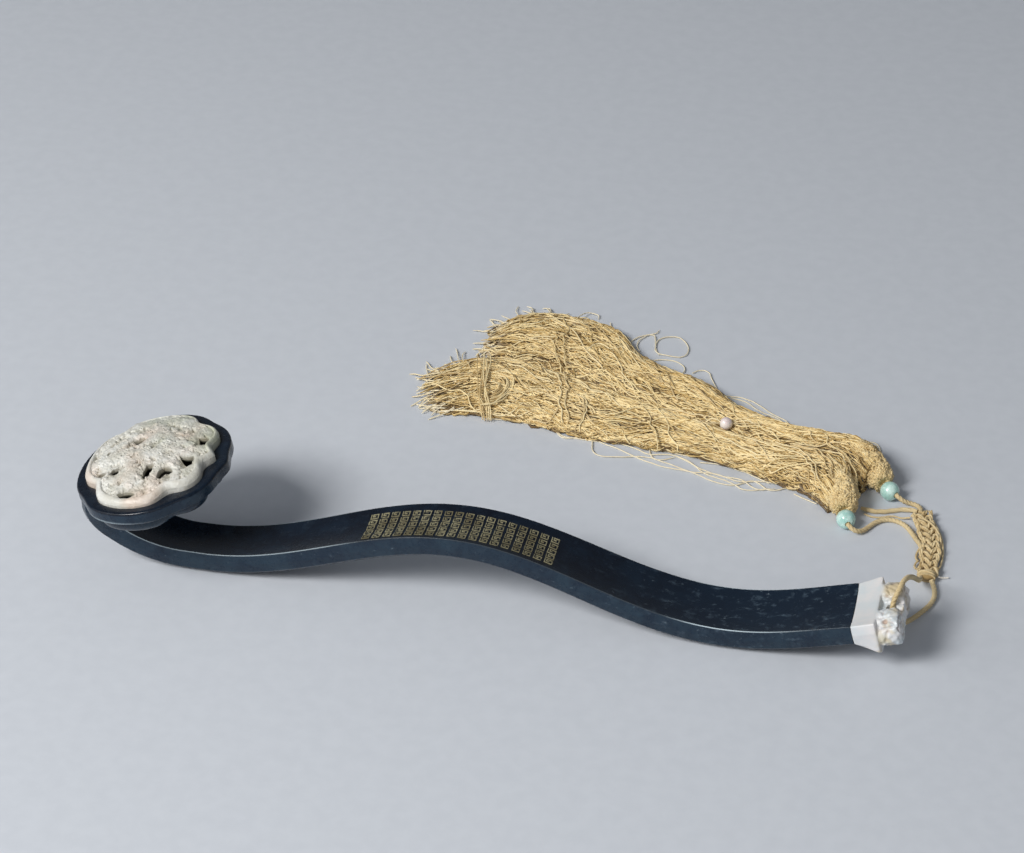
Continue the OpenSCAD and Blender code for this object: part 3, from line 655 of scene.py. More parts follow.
def headRings():
    angle = np.linspace(0, 360, headSize["columns"], endpoint=False)
    toNeck = (1 - np.cos(np.radians(angle))) / 2
    rows = []       # each row is (inset, notch, height)
    seat = headSize["rimWide"] - headSize["seatGap"]
    lip, crown = headSize["lipRound"], headSize["topRound"]
    rows += [(seat, headSize["plaqueNotch"], -headSize["recess"]), (seat, headSize["plaqueNotch"], -lip)]
    rows += [(seat - lip * (1 - math.cos(t)), headSize["plaqueNotch"], -lip * (1 - math.sin(t)))
             for t in np.linspace(0.3, math.pi / 2, 4)]
    for t in np.linspace(0.25, 1, 4):
        rows.append(((seat - lip) * (1 - t) + crown * t,
                     headSize["plaqueNotch"] * (1 - t) + headSize["rimNotch"] * t, 0.0))
    rows += [(crown * (1 - math.sin(t)), headSize["rimNotch"], -crown * (1 - math.cos(t)))
             for t in np.linspace(0.3, math.pi / 2, 6)]
    under = headSize["rim"]
    rows += [(0.0, headSize["rimNotch"], -under * 0.5), (0.0, headSize["rimNotch"], -under + 0.8)]
    rows += [(0.8 * (1 - math.cos(t)), headSize["rimNotch"], -under + 0.8 * (1 - math.sin(t)))
             for t in np.linspace(0.4, math.pi / 2, 4)]
    # a thin bead and a groove under the rim
    rows += [(2.0, 0.05, -under - 0.05), (2.3, 0.06, -under - 0.35), (2.0, 0.06, -under - 0.9),
             (2.4, 0.07, -under - 1.35), (3.4, 0.1, -under - 1.3)]
    rings = []
    for inset, notch, height in rows:
        r = lobedRadius(angle, inset, notch)
        rings.append(np.stack([r * np.cos(np.radians(angle)), r * np.sin(np.radians(angle)),
                               np.full_like(r, height)], -1))
    top, bottom = -under - 1.3, -headSize["thick"]
    for t in np.linspace(0.0, 1.0, 20):
        inset = headSize["tierIn"] + (2.2 + 7.5 * (1 - toNeck) ** 1.2) * t ** 2.2
        height = top + (bottom - top) * math.sin(t * math.pi / 2)
        r = lobedRadius(angle, 0, headSize["plaqueNotch"] * (1 - 0.2 * t)) - inset
        rings.append(np.stack([r * np.cos(np.radians(angle)), r * np.sin(np.radians(angle)),
                               np.full_like(r, height)], -1))
    return [inHead(r) for r in rings]


spineData = shaftSpine()
spine = polyline("darkStone", [(x * mm, 0, z * mm) for x, z, _ in spineData])
evenHalf = shaft["crestWide"] / 2
addAttribute(spine, "extraHalf", [(w / 2 - evenHalf) * mm for _, _, w in spineData])
ring = shaftSection(shaft["crestWide"])
sectionMesh = newObject("section", [(y * mm, -z * mm, 0) for y, z, _ in ring],
                        edges=[(i, (i + 1) % len(ring)) for i in range(len(ring))])
addAttribute(sectionMesh, "arris", [float(kind == 1) for _, _, kind in ring])
addAttribute(sectionMesh, "flank", [kind / 2 for _, _, kind in ring])
darkStone = grown(spine, sweepTree(), {"Section": sectionMesh, "Even half width": evenHalf * mm})
bpy.data.objects.remove(sectionMesh)


def outwards(obj):
    b = bmesh.new()
    b.from_mesh(obj.data)
    bmesh.ops.remove_doubles(b, verts=b.verts, dist=1e-7)
    bmesh.ops.recalc_face_normals(b, faces=b.faces)
    b.to_mesh(obj.data)
    b.free()
    return obj


def prism(name, low, high):
    # a block between two outlines of as many points, which may be hollowed
    count = len(low)
    faces = [tuple(range(count))[::-1], tuple(range(count, 2 * count))]
    faces += [(k, (k + 1) % count, count + (k + 1) % count, count + k) for k in range(count)]
    return outwards(newObject(name, [*low, *high], faces))


outwards(darkStone)
points, faces = skinOver(headRings())
head = newObject("head", points, faces)
outwards(head)
cut(darkStone, head, "UNION")

# where the shaft's arrises and flanks are, in the head too
found = corners(darkStone) / mm - headMid
along = found[:, 0] * math.cos(headTilt) + found[:, 2] * math.sin(headTilt)
height = found[:, 2] * math.cos(headTilt) - found[:, 0] * math.sin(headTilt)
angle = np.degrees(np.arctan2(found[:, 1], along)) % 360
reach = lobedRadius(angle, 0, headSize["rimNotch"])
ofHead = (height > -headSize["thick"] - 0.4) & (np.hypot(along, found[:, 1]) < reach + 0.5)
values = {}
for name in ("arris", "flank"):
    values[name] = np.zeros(len(found), np.float32)
    darkStone.data.attributes[name].data.foreach_get("value", values[name])
    darkStone.data.attributes.remove(darkStone.data.attributes[name])
# painted highlight: on the head the arris mask marks a line under the rim, strongest where it faces the front; the
# walls below the top get the flank mask and its painted side light
rimLine = (abs(height + headSize["rim"] - 0.5) < 0.5) & (abs(np.hypot(along, found[:, 1]) - reach) < 0.5)
addAttribute(darkStone, "arris", np.where(ofHead, rimLine * 0.5 * (1 + np.cos(np.radians(angle - 250) * 2)) * 0.85,
                                          values["arris"]))
addAttribute(darkStone, "flank", np.where(ofHead, (height < -1.0) * 0.85, values["flank"]))

tailAngle = math.atan2(topHeight(tailX + 0.01) - topHeight(tailX - 0.01), 0.02)


def inTail(points):
    # from the tail's own frame, which runs on along the shaft, to the row's
    p = np.asarray(points, float)
    x = p[..., 0] * math.cos(tailAngle) - p[..., 2] * math.sin(tailAngle) + tailX
    z = p[..., 0] * math.sin(tailAngle) + p[..., 2] * math.cos(tailAngle) + topHeight(tailX)
    return np.stack([x, p[..., 1], z], -1) * mm


def tailRod(name, radius, start, end, along="x", at=0.0):
    turns = np.linspace(0, 2 * math.pi, 48, endpoint=False)
    rings = []
    for s in (start, end):
        if along == "x":
            rings.append([(s, radius * math.cos(t), -halfThick + radius * math.sin(t)) for t in turns])
        else:
            rings.append([(at + radius * math.cos(t), radius * math.sin(t), s) for t in turns])
    return prism(name, inTail(rings[0]), inTail(rings[1]))


cut(darkStone, tailRod("hole", 4.05, -8.05, 3.0))
shaded(darkStone, 32)

# slate and mist also serve as painted light on the flanks; the last colour is a painted highlight for the arris
stoneColours = {
    "black": (0.0018, 0.0042, 0.0105), "night": (0.0044, 0.0125, 0.026),
    "slate": (0.0078, 0.018, 0.035), "mist": (0.019, 0.040, 0.062),
    "cloud": (0.085, 0.125, 0.165), "fleck": (0.22, 0.28, 0.33), "wearAndHighlight": (0.46, 0.55, 0.60),
}
jade = Finish("darkJade")
wave = jade.noise(46.0, 5.0, 0.62, distortion=0.5)
speck = jade.noise(330.0, 6.0, 0.65)
drift = jade.stretched(150, 230, 210)
clouds = jade.noise(1.0, 8.0, 0.72, at=drift, distortion=0.35)
alongX = jade.place.axis("X")
tailShare = alongX.between(0.04, 0.14)
# painted light: the flanks get lighter slate and mist colours and stronger pale flecks than the top, which stays near
# black, as light on the sides and shade on the top
flank = jade.attribute("flank").between(0.5, 0.9)
share = wave.between(0.36, 0.66) * 0.65 + speck.between(0.45, 0.75) * 0.35
topColour = share.tinted(stoneColours["black"], stoneColours["night"])
colour = flank.tinted((tailShare * 0.6).tinted(topColour, stoneColours["slate"]),
                      share.tinted(stoneColours["slate"], stoneColours["mist"]))
clouding = clouds.between(0.52, 0.72) * (0.16 + 0.84 * tailShare)
colour = (clouding * 0.8).tinted(colour, stoneColours["cloud"])
flecks = jade.noise(1.0, 4.0, 0.7, at=jade.stretched(300, 520, 460)).between(0.63, 0.74)
colour = (flecks * (0.14 + 0.3 * flank + 0.5 * tailShare)).clip().tinted(colour, stoneColours["fleck"])
# painted highlight: the front arris is painted pale as a highlight line, strongest in the two troughs and faint on the
# hump
trough = ((0.0 - alongX - 0.058).between(0.0, 0.025) * 0.5
          + alongX.between(0.088, 0.112) * (0.0 - alongX + 0.17).between(0.0, 0.05))
paintedArrisHighlight = jade.attribute("arris").between(0.55, 0.95) * (0.07 + trough * (0.75 + speck * 0.5))
colour = paintedArrisHighlight.clip().tinted(colour, stoneColours["wearAndHighlight"])
fine = jade.noise(1500.0, 2.0, 0.5)
normal = jade.bump(jade.noise(60.0, 2.0), 0.00012)
normal = jade.bump(fine, 0.000012, normal)
darkJade = jade.done(colour, 0.2 + 0.16 * speck + 0.1 * clouding, normal, Specular_IOR_Level=0.34)
darkStone.data.materials.clear()
darkStone.data.materials.append(darkJade)
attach(darkStone, "scepter")
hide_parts("jade_body")
print("dark stone: %d faces" % len(darkStone.data.polygons))

# the pale plaque: a dome carved into scrolling ribbons, pierced, hollow underneath
plaqueSize = {
    "edge": 3.0, "dome": 9.0, "shell": 4.5, "border": 5.0, "bottom": -3.0, "columns": 520, "rows": 112,
    "ground": 1.8, "bandWide": 4.6, "bandLeast": 2.2, "fillet": 0.12, "edgeDrop": 2.7, "holeScale": 1.2,
    "bosses": 150, "nicks": 330, "least": 0.8,
}
plaqueHalf = headSize["halfWide"] - headSize["rimWide"]
domeRise = plaqueSize["dome"] - plaqueSize["edge"]
domeRadius = (plaqueHalf ** 2 + domeRise ** 2) / (2 * domeRise)

# ribbons of the relief on the head's face: points (x, y, half width, depth of its crest under the dome)
ribbons = [
    [(-30, 4, 2.4, 0.9), (-28, 11, 3.4, 0.5), (-25, 20, 4.6, 0.0), (-19, 27, 5.2, -0.2), (-11, 28, 5.0, -0.1),
     (-4, 24, 4.4, 0.2), (-0.5, 17, 3.8, 0.4), (-3, 10.5, 3.2, 0.7), (-8, 7, 2.6, 1.0)],
    [(-12, 33.5, 3.0, 0.7), (-3, 33, 4.6, 0.0), (6, 31, 5.2, -0.2), (14, 27, 4.8, 0.0), (20, 21, 3.6, 0.6),
     (20, 15.5, 2.6, 1.0), (15.5, 13, 2.2, 1.1)],
    [(-31, -9, 2.4, 1.0), (-26, -6.5, 3.6, 0.4), (-20, -3, 5.2, 0.0), (-12, -3.5, 5.6, -0.1), (-5, -4.5, 4.6, 0.2),
     (1.5, -3, 3.8, 0.5), (6, 2, 3.4, 0.6), (7, 9, 3.2, 0.6), (5, 16, 2.8, 0.8)],
    [(-8, -9, 2.6, 0.5), (-5, -15, 2.9, 0.0), (-3.5, -22, 3.0, 0.1), (-5, -28, 2.8, 0.6), (-11, -31, 2.4, 1.0)],
    [(-19, -9, 2.6, 0.4), (-21, -13, 2.0, 0.7), (-19, -19.5, 2.2, 0.7), (-15, -22, 2.4, 0.6), (-9, -21, 2.2, 0.7),
     (-8, -15.5, 2.0, 0.9)],
    [(9, -7, 3.0, 0.4), (8.4, -14, 2.6, 0.4), (7.6, -21, 2.6, 0.6), (10, -27, 2.4, 0.9), (16, -26, 2.0, 1.2)],
    [(9, -9, 2.6, 0.6), (14, -11.5, 2.4, 0.6), (17.6, -15, 2.2, 0.7), (18.5, -20, 2.2, 0.9)],
    [(9, 3, 2.2, 0.8), (15, 0, 2.4, 0.6), (20, -2, 2.2, 0.7), (26, -4, 2.2, 0.8), (29.5, -9, 1.8, 1.2)],
    [(15, 1, 1.8, 0.9), (16, -6, 1.8, 0.8), (16.5, -11, 1.8, 0.9)],
    [(13, 8, 2.0, 0.9), (18, 6.5, 2.2, 0.7), (21, 3, 2.2, 0.7), (26, 3.5, 2.2, 0.8), (29, 8, 2.0, 0.8),
     (28.5, 14, 2.2, 0.8), (25, 18, 2.4, 0.7), (22, 22, 2.2, 0.9)],
    [(25, -3, 1.7, 0.9), (26.5, -9.5, 1.7, 1.0), (23, -14.5, 1.7, 1.1)],
    [(-16, 12, 2.6, 0.6), (-19, 6, 3.0, 0.5), (-25, 2, 2.8, 0.8)],
    [(-6, 16, 2.4, 0.6), (-12, 15.5, 2.8, 0.5), (-16, 18, 2.6, 0.6)],
    [(-27, -12, 1.6, 1.0), (-25, -18, 1.6, 1.1), (-22, -22, 1.6, 1.3), (-16, -27, 1.8, 1.2), (-8, -27, 1.8, 1.2)],
    [(11, 17, 2.2, 0.7), (13, 22, 2.2, 0.6), (9, 25.5, 2.0, 0.8)],
    [(3, -27, 1.8, 1.1), (0.5, -22, 1.6, 1.0), (0.2, -16, 1.6, 0.9), (1.2, -10, 1.8, 0.8)],
]

# pierced places: (x, y, turn, corner points in mm), cut right through between the ribbons
piercings = [
    (-9.5, 9.7, 0, [(-3.2, 1.2), (2.4, 1.6), (0.4, -2.2)]),
    (-14.5, -14.6, 30, [(-2.3, 0.2), (0.0, 1.7), (2.4, 0.4), (0.6, -1.8)]),
    (-21.8, -16.7, 30, [(-2.6, 0.5), (0.3, 1.5), (2.8, -0.8), (0.0, -1.5)]),
    (3.8, -16.7, 0, [(-1.3, 3.6), (1.2, 3.9), (1.7, 0.0), (0.6, -3.9), (-1.2, -3.6), (-1.7, 0.0)]),
    (13.0, -17.3, 0, [(-1.2, 3.0), (1.6, 2.6), (3.0, 0.6), (0.4, 0.4), (-1.2, -3.4), (-2.5, -3.2), (-2.4, 0.6)]),
    (20.8, -7.4, 0, [(-3.4, 2.3), (0.9, 2.6), (2.4, 3.0), (1.8, -3.4), (-0.6, -1.4)]),
    (23.9, 10.8, 0, [(-2.4, 2.0), (1.4, 2.6), (2.0, 0.8), (-0.4, -2.8)]),
    (-3.5, -32.2, 0, [(-4.2, 0.2), (-1.6, 1.5), (1.6, 1.5), (4.2, 0.0), (1.0, -1.3), (-1.8, -1.2)]),
    (-23.0, 0.0, 80, [(-1.7, 0.5), (1.4, 0.8), (1.6, -0.6), (-1.2, -0.9)]),
]


def domeHeight(x, y):
    return plaqueSize["dome"] - domeRadius + np.sqrt(domeRadius ** 2 - x * x - y * y)


def ribbonHeight(x, y, ribbon):
    # height of a rounded band over the dome, -9 away from it
    line, _ = curveThrough([(px, py, w * 11.5, t * 10) for px, py, w, t in ribbon], 0.8)
    best = np.full(x.shape, -9.0)
    for px, py, w, t in zip(*line.T):
        w, t = w / 10, t / 10
        away = np.hypot(x - px, y - py) / w
        inside = away < 1.12
        rise = -t - 0.28 * w * (1 - np.sqrt(np.clip(1 - np.clip(away[inside], 0, 1) ** 3.4, 0, 1)))
        rise -= 0.3 * np.exp(-((away[inside] - 0.6) / 0.12) ** 2)
        rise -= 14 * np.clip(away[inside] - 0.98, 0, 1) * w
        best[inside] = np.maximum(best[inside], rise)
    return best


def plaqueField(x, y, edgeGap, band):
    # the top surface, and how deep it lies under the dome
    dome = domeHeight(x, y)
    x, y = (x + 0.7 * np.sin(1.6 * y + 0.9 * np.sin(x * 1.1)) + 0.2 * np.sin(4.3 * y),
            y + 0.7 * np.sin(1.5 * x + 1.2 * np.sin(y * 0.9)) + 0.2 * np.sin(4.1 * x))
    field = np.full(x.shape, -plaqueSize["ground"]) + 0.3 * np.sin(x * 0.9 + 1.3 * np.sin(y * 0.5)) * np.cos(y * 0.8)
    # small leaves and curls on the ground between the ribbons
    ground = plaqueSize["ground"]
    rng = np.random.default_rng(51)
    for _ in range(plaqueSize["bosses"]):
        px, py = rng.uniform(-33, 33), rng.uniform(-38, 38)
        turn, long, wide = rng.uniform(0, math.pi), rng.uniform(1.8, 3.6), rng.uniform(0.9, 1.7)
        along = (x - px) * math.cos(turn) + (y - py) * math.sin(turn)
        across = (y - py) * math.cos(turn) - (x - px) * math.sin(turn) + 0.12 * along ** 2
        away = np.clip((along / long) ** 2 + (across / wide) ** 2, 0, 1)
        leaf = -ground + rng.uniform(0.5, 1.3) * np.sqrt(1 - away)
        leaf = leaf - 0.35 * np.exp(-(across / 0.22) ** 2) * (1 - away)
        field = np.where(away < 1, softMax(field, leaf, 0.15), field)
    for ribbon in ribbons:
        field = softMax(field, ribbonHeight(x, y, ribbon), 0.45)
    # small leaves and nicks over all of it
    for k in range(plaqueSize["nicks"]):
        px, py = rng.uniform(-34, 34), rng.uniform(-39, 39)
        turn, long, wide = rng.uniform(0, math.pi), rng.uniform(1.0, 2.6), rng.uniform(0.5, 1.1)
        along = (x - px) * math.cos(turn) + (y - py) * math.sin(turn)
        across = (y - py) * math.cos(turn) - (x - px) * math.sin(turn) + 0.15 * along ** 2
        away = np.clip((along / long) ** 2 + (across / wide) ** 2, 0, 1)
        field = field + (rng.uniform(0.2, 0.5) if k % 3 else -0.45) * np.sqrt(1 - away)
    lines = np.sin(x * 1.5 + 2.2 * np.sin(y * 0.22 + 1)) * np.sin(y * 1.3 + 2.0 * np.sin(x * 0.2))
    field = field - 0.24 * np.clip(np.abs(lines) ** 5, 0, 1) + 0.12 * np.sin(0.55 * x + 1.7) * np.sin(0.6 * y)
    crest = band * 0.62
    inner = -2.3 * np.abs((edgeGap - crest) / (band - crest)) ** 2.4
    outer = -plaqueSize["edgeDrop"] * (1 - np.sqrt(np.clip(1 - np.clip(1 - edgeGap / crest, 0, 1) ** 2, 0, 1)))
    swell = np.where(edgeGap < crest, outer, inner)
    field = np.where(edgeGap < crest, swell, np.where(edgeGap < band * 1.3, softMax(field, swell, 0.3), field))
    return dome + field, -field


def softMax(a, b, width):
    share = np.clip(0.5 + 0.5 * (a - b) / width, 0, 1)
    return b + (a - b) * share + width * share * (1 - share) * 0.5


def ringOf(radius, height, angle):
    return np.stack([radius * np.cos(np.radians(angle)), radius * np.sin(np.radians(angle)),
                     np.broadcast_to(height, radius.shape)], -1)


angle = np.linspace(0, 360, plaqueSize["columns"], endpoint=False)
edge = lobedRadius(angle, headSize["rimWide"], headSize["plaqueNotch"])
share = 1 - (1 - np.linspace(0.004, 1, plaqueSize["rows"])) ** 1.15
radius = share[:, None] * (edge - plaqueSize["fillet"])[None, :]
gridX, gridY = radius * np.cos(np.radians(angle)), radius * np.sin(np.radians(angle))
# the plain border is widest in front
toFront = np.clip(0.5 - 0.7 * np.sin(np.radians(angle)), 0, 1)
band = plaqueSize["bandLeast"] + (plaqueSize["bandWide"] - plaqueSize["bandLeast"]) * toFront
top, depth = plaqueField(gridX, gridY, edge[None, :] - radius, band[None, :])
for px, py, turn, shape in piercings:
    # the stone falls away towards each hole
    away = np.hypot(gridX - px, gridY - py)
    reach = max(math.hypot(a, b) for a, b in shape) * plaqueSize["holeScale"]
    fall = np.clip(1.15 - away / reach, 0, 1) * 1.3
    top, depth = top - fall, depth + fall
shellRadius = domeRadius - plaqueSize["shell"]
thinnest = plaqueSize["dome"] - domeRadius + np.sqrt(shellRadius ** 2 - radius ** 2) + plaqueSize["least"]
top = np.maximum(top, thinnest)
rings = [np.stack([gridX[r], gridY[r], top[r]], -1) for r in range(plaqueSize["rows"])]
cavity = [depth[r] for r in range(plaqueSize["rows"])]
lastTop = top[-1]
for t in np.linspace(0.25, 1, 4):
    rings.append(ringOf(edge - plaqueSize["fillet"] * (1 - math.sin(t * math.pi / 2)),
                        lastTop - plaqueSize["fillet"] * (1 - math.cos(t * math.pi / 2)), angle))
rings += [ringOf(edge, 0.3, angle), ringOf(edge, plaqueSize["bottom"], angle)]
inner = edge - plaqueSize["border"]
for t in (1.0, 0.999, 0.85, 0.7, 0.55, 0.4, 0.25, 0.1, 0.01):
    r = inner * t
    low = plaqueSize["dome"] - domeRadius + np.sqrt(shellRadius ** 2 - r ** 2)
    rings.append(ringOf(r, plaqueSize["bottom"] if t == 1.0 else np.maximum(low, plaqueSize["bottom"] + 0.02), angle))
flat = cavity + [np.full(plaqueSize["columns"], 1.2)] * (len(rings) - len(cavity))
points, faces = skinOver([inHead(r) for r in rings])
plaque = newObject("openworkPlaque", points, faces)
addAttribute(plaque, "carvedDepth", np.concatenate([np.concatenate(flat), [flat[0][0], flat[-1][0]]]))
outwards(plaque)
drills = []
for px, py, turn, shape in piercings:
    grow = plaqueSize["holeScale"]
    hole, _ = curveThrough([(a * grow, b * grow) for a, b in shape + shape[:1]], 0.35)
    turned = math.radians(turn)
    hole = [(px + a * math.cos(turned) - b * math.sin(turned), py + a * math.sin(turned) + b * math.cos(turned))
            for a, b in hole[:-1]]
    middle = np.mean(hole, axis=0)
    sheaf = [[(middle[0] + (a - middle[0]) * f, middle[1] + (b - middle[1]) * f, h) for a, b in hole]
             for h, f in ((-4.5, 0.9), (12.0, 1.12))]
    drills.append(prism("hole", inHead(sheaf[0]), inHead(sheaf[1])))
cut(plaque, joinedUp(*drills))

# how deep each point lies under the dome, in the pierced walls too
found = corners(plaque) / mm - headMid
faceX = found[:, 0] * math.cos(headTilt) + found[:, 2] * math.sin(headTilt)
faceHeight = found[:, 2] * math.cos(headTilt) - found[:, 0] * math.sin(headTilt)
turned = np.degrees(np.arctan2(found[:, 1], faceX)) % 360
gap = lobedRadius(turned, headSize["rimWide"], headSize["plaqueNotch"]) - np.hypot(faceX, found[:, 1])
deep = domeHeight(faceX, found[:, 1]) - faceHeight
plaque.data.attributes.remove(plaque.data.attributes["carvedDepth"])
addAttribute(plaque, "carvedDepth", np.where(gap < plaqueSize["bandWide"] * 0.55, np.minimum(deep, 0.6), deep))
shaded(plaque, 38)

pale = Finish("paleJade")
ivory = pale.noise(42.0, 4.0, 0.55)
mist = pale.noise(95.0, 4.0, 0.6)
depthUnder = pale.attribute("carvedDepth")
alongX = pale.place.axis("X")
acrossY = pale.place.axis("Y")
greenShare = (alongX * 9.0 + acrossY * 10.0 + 1.45 + (ivory - 0.5) * 1.6).between(0.0, 0.75)
colour = mist.between(0.35, 0.7).tinted((0.57, 0.555, 0.49), (0.74, 0.735, 0.69))
colour = (greenShare * (0.55 + 0.45 * mist)).tinted(colour, (0.385, 0.425, 0.30))
rosy = pale.noise(30.0, 3.0, 0.5, at=pale.stretched(1, 1, 1, (0.4, 0.2, 0.9)))
colour = (rosy.between(0.5, 0.68) * 0.6 * (1 - greenShare)).tinted(colour, (0.64, 0.49, 0.39))
# painted shade: carved hollows darken to olive brown the deeper they lie under the dome, and the pierced walls go near
# black
crevice = depthUnder.between(0.8, 3.0)
colour = (crevice * (0.45 + 0.4 * ivory)).tinted(colour, (0.21, 0.18, 0.105))
colour = depthUnder.between(3.1, 4.3).tinted(colour, (0.018, 0.018, 0.010))
rock = pale.noise(210.0, 5.0, 0.62, distortion=1.2)
fineLines = pale.noise(900.0, 3.0, 0.6)
normal = pale.bump(fineLines, 0.00004)
normal = pale.bump(rock, 0.0007, normal)
paleJade = pale.done(colour, 0.24 + 0.2 * mist + 0.3 * crevice, normal, Coat_Weight=0.1, Coat_Roughness=0.15,
                     Subsurface_Weight=0.12, Subsurface_Radius=(0.004, 0.0035, 0.003), Subsurface_Scale=0.4)
plaque.data.materials.append(paleJade)
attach(plaque, "scepter")
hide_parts("openwork_plaque")
print("plaque: %d faces" % len(plaque.data.polygons))

# gilt squares of a key fret, laid along the hump
fretSize = {"long": 97.0, "wide": 22.6, "across": 18, "rows": 5, "fill": 0.76, "thick": 0.3, "gap": 0.12}


def fretTree():
    tree, start, given = newTree("fretOnHump", [
        ("Square", "Object", None), ("Long", "Float", 0.097), ("Wide", "Float", 0.022), ("Columns", "Int", 18),
        ("Rows", "Int", 5), ("Shift", "Float", 0.0014), ("Crest", "Float", -0.013), ("Half wave", "Float", 0.1315),
        ("Rise", "Float", 0.0305), ("Trough", "Float", 0.01325), ("Hollow", "Float", 0.0015), ("Seed", "Int", 4)])
    grid = start.node("GeometryNodeMeshGrid", {}, {
        "Size X": given["Long"] * (1 - 1 / fretSize["across"]), "Size Y": given["Wide"] * (1 - 1 / fretSize["rows"]),
        "Vertices X": given["Columns"], "Vertices Y": given["Rows"]})
    square = start.node("GeometryNodeObjectInfo", {}, {0: given["Square"]}, out="Geometry")
    turn = start.chance(-0.05, 0.05, given["Seed"])
    grow = start.chance(0.93, 1.03, given["Seed"] + 1)
    squares = start.node("GeometryNodeInstanceOnPoints", {}, {
        "Points": grid, "Instance": square, "Rotation": start.joined(0.0, 0.0, turn),
        "Scale": start.joined(grow, grow, 1.0)})
    flat = start.node("GeometryNodeRealizeInstances", {}, {"Geometry": squares})
    place = start.node("GeometryNodeInputPosition")
    x, y, lift = place.axis("X") + given["Crest"], place.axis("Y") - given["Shift"], place.axis("Z")
    wave = (x - given["Crest"]) * math.pi / given["Half wave"]
    height = given["Trough"] + given["Rise"] * 0.5 * (1 + start.maths("COSINE", wave))
    slope = -0.5 * math.pi * given["Rise"] / given["Half wave"] * start.maths("SINE", wave)
    run = start.maths("INVERSE_SQRT", 1 + slope * slope)
    halfWide = (shaft["crestWide"] * mm + shaft["taper"] * (x - given["Crest"])) * 0.5
    across = y / halfWide
    sunk = lift - given["Hollow"] * (1 - across * across)
    bent = start.node("GeometryNodeSetPosition", {}, {
        "Geometry": flat, "Position": start.joined(x - sunk * slope * run, y, height + sunk * run)})
    closeTree(bent, given["Material"])
    return tree


def fretSquare():
    # one square spiral, a flat outline made into a low block with a soft top edge
    sizeX = fretSize["long"] / fretSize["across"] * fretSize["fill"]
    sizeY = fretSize["wide"] / fretSize["rows"] * fretSize["fill"]
    line, ex, ey = min(sizeX, sizeY) / 7, sizeX / 2, sizeY / 2
    outline = [(-ex, -ey), (ex, -ey), (ex, ey), (-ex + 2 * line, ey), (-ex + 2 * line, -line / 2),
               (line, -line / 2), (line, line / 2 + line / 3), (-ex + 3 * line, line / 2 + line / 3),
               (-ex + 3 * line, ey - line), (ex - line, ey - line), (ex - line, -ey + line),
               (-ex + line, -ey + line), (-ex + line, ey), (-ex, ey)]
    low, high = fretSize["gap"], fretSize["gap"] + fretSize["thick"]
    return prism("fretSquare", *([(x * mm, y * mm, h * mm) for x, y in outline] for h in (low, high)))


gilt = Finish("rubbedGilt")
wearAndHighlight = gilt.noise(500.0, 4.0, 0.6)
broad = gilt.noise(90.0, 3.0)
colour = broad.between(0.35, 0.65).tinted((0.26, 0.225, 0.13), (0.56, 0.51, 0.32))
worn = (wearAndHighlight * 0.7 + broad * 0.3).between(0.5, 0.62)
colour = (worn * 0.82).tinted(colour, (0.04, 0.05, 0.05))
giltMetal = gilt.done(colour, 0.38 + 0.25 * wearAndHighlight, gilt.bump(wearAndHighlight, 0.00005), Metallic=0.55)
square = fretSquare()
fret = newObject("giltFret", [(0, 0, 0)])
grown(fret, fretTree(), {"Square": square, "Material": giltMetal})
bpy.data.objects.remove(square)
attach(fret, "scepter")
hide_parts("gilt_fret")
print("gilt fret: %d faces" % len(fret.data.polygons))

# the pale ferrule and its two carved scrolls, from one stone
endSize = {
    "long": 12.5, "flareUp": 1.8, "flareDown": 5.0, "flareSide": 1.6,
    "lobe": 9.3, "lobeY": 10.8, "lobeThick": 12.0, "lobeEdge": 3.5, "web": 12.0,
    "eye": 2.5, "eyeIn": 5.0, "sink": 0.5, "voxel": 0.34,
}
tailWide = shaftWide(tailX)
swellLine = [(0.15, 0.0), (4.375, 0.33), (8.75, 0.76), (11.2, 1.0), (12.0, 1.0), (12.5, 0.93)]


def ferruleRings():
    rings = []
    section = np.array(shaftSection(tailWide))
    for x in np.concatenate([np.linspace(0.15, 11.5, 30), [12.0, 12.35, 12.5]]):
        k = np.interp(x, *zip(*swellLine))
        y = section[:, 0] * (1 + k * 2 * endSize["flareSide"] / tailWide)
        z = section[:, 1] + np.where(section[:, 1] > -halfThick, k * endSize["flareUp"], -k * endSize["flareDown"]
                                     * np.clip((-section[:, 1] - halfThick) / 3.0, 0, 1))
        rings.append(np.stack([np.full_like(y, x), y, z], -1))
    return rings


def lobeRings(side):
    # a thick scroll: a round block, a little irregular, its edge rounded over
    turns = np.linspace(0, 2 * math.pi, 96, endpoint=False)
    rings = []
    start, thick, edge = endSize["long"] - endSize["sink"], endSize["lobeThick"], endSize["lobeEdge"]
    for k, (x, drop) in enumerate([(0, edge)] + [(edge * (1 - math.cos(t)), edge * (1 - math.sin(t)))
                                                for t in np.linspace(0.3, math.pi / 2, 6)]
                                  + [(thick - edge * (1 - math.cos(t)), edge * (1 - math.sin(t)))
                                     for t in np.linspace(math.pi / 2, 0.3, 6)] + [(thick, edge)]):
        r = endSize["lobe"] - drop
        wave = 1 - 0.035 * (1 - np.cos(3 * turns + (0.6 if side > 0 else 2.2))) / 2
        rings.append(np.stack([np.full_like(turns, start + x), side * endSize["lobeY"] + r * wave * np.cos(turns),
                               -halfThick + r * wave * np.sin(turns)], -1))
    return rings


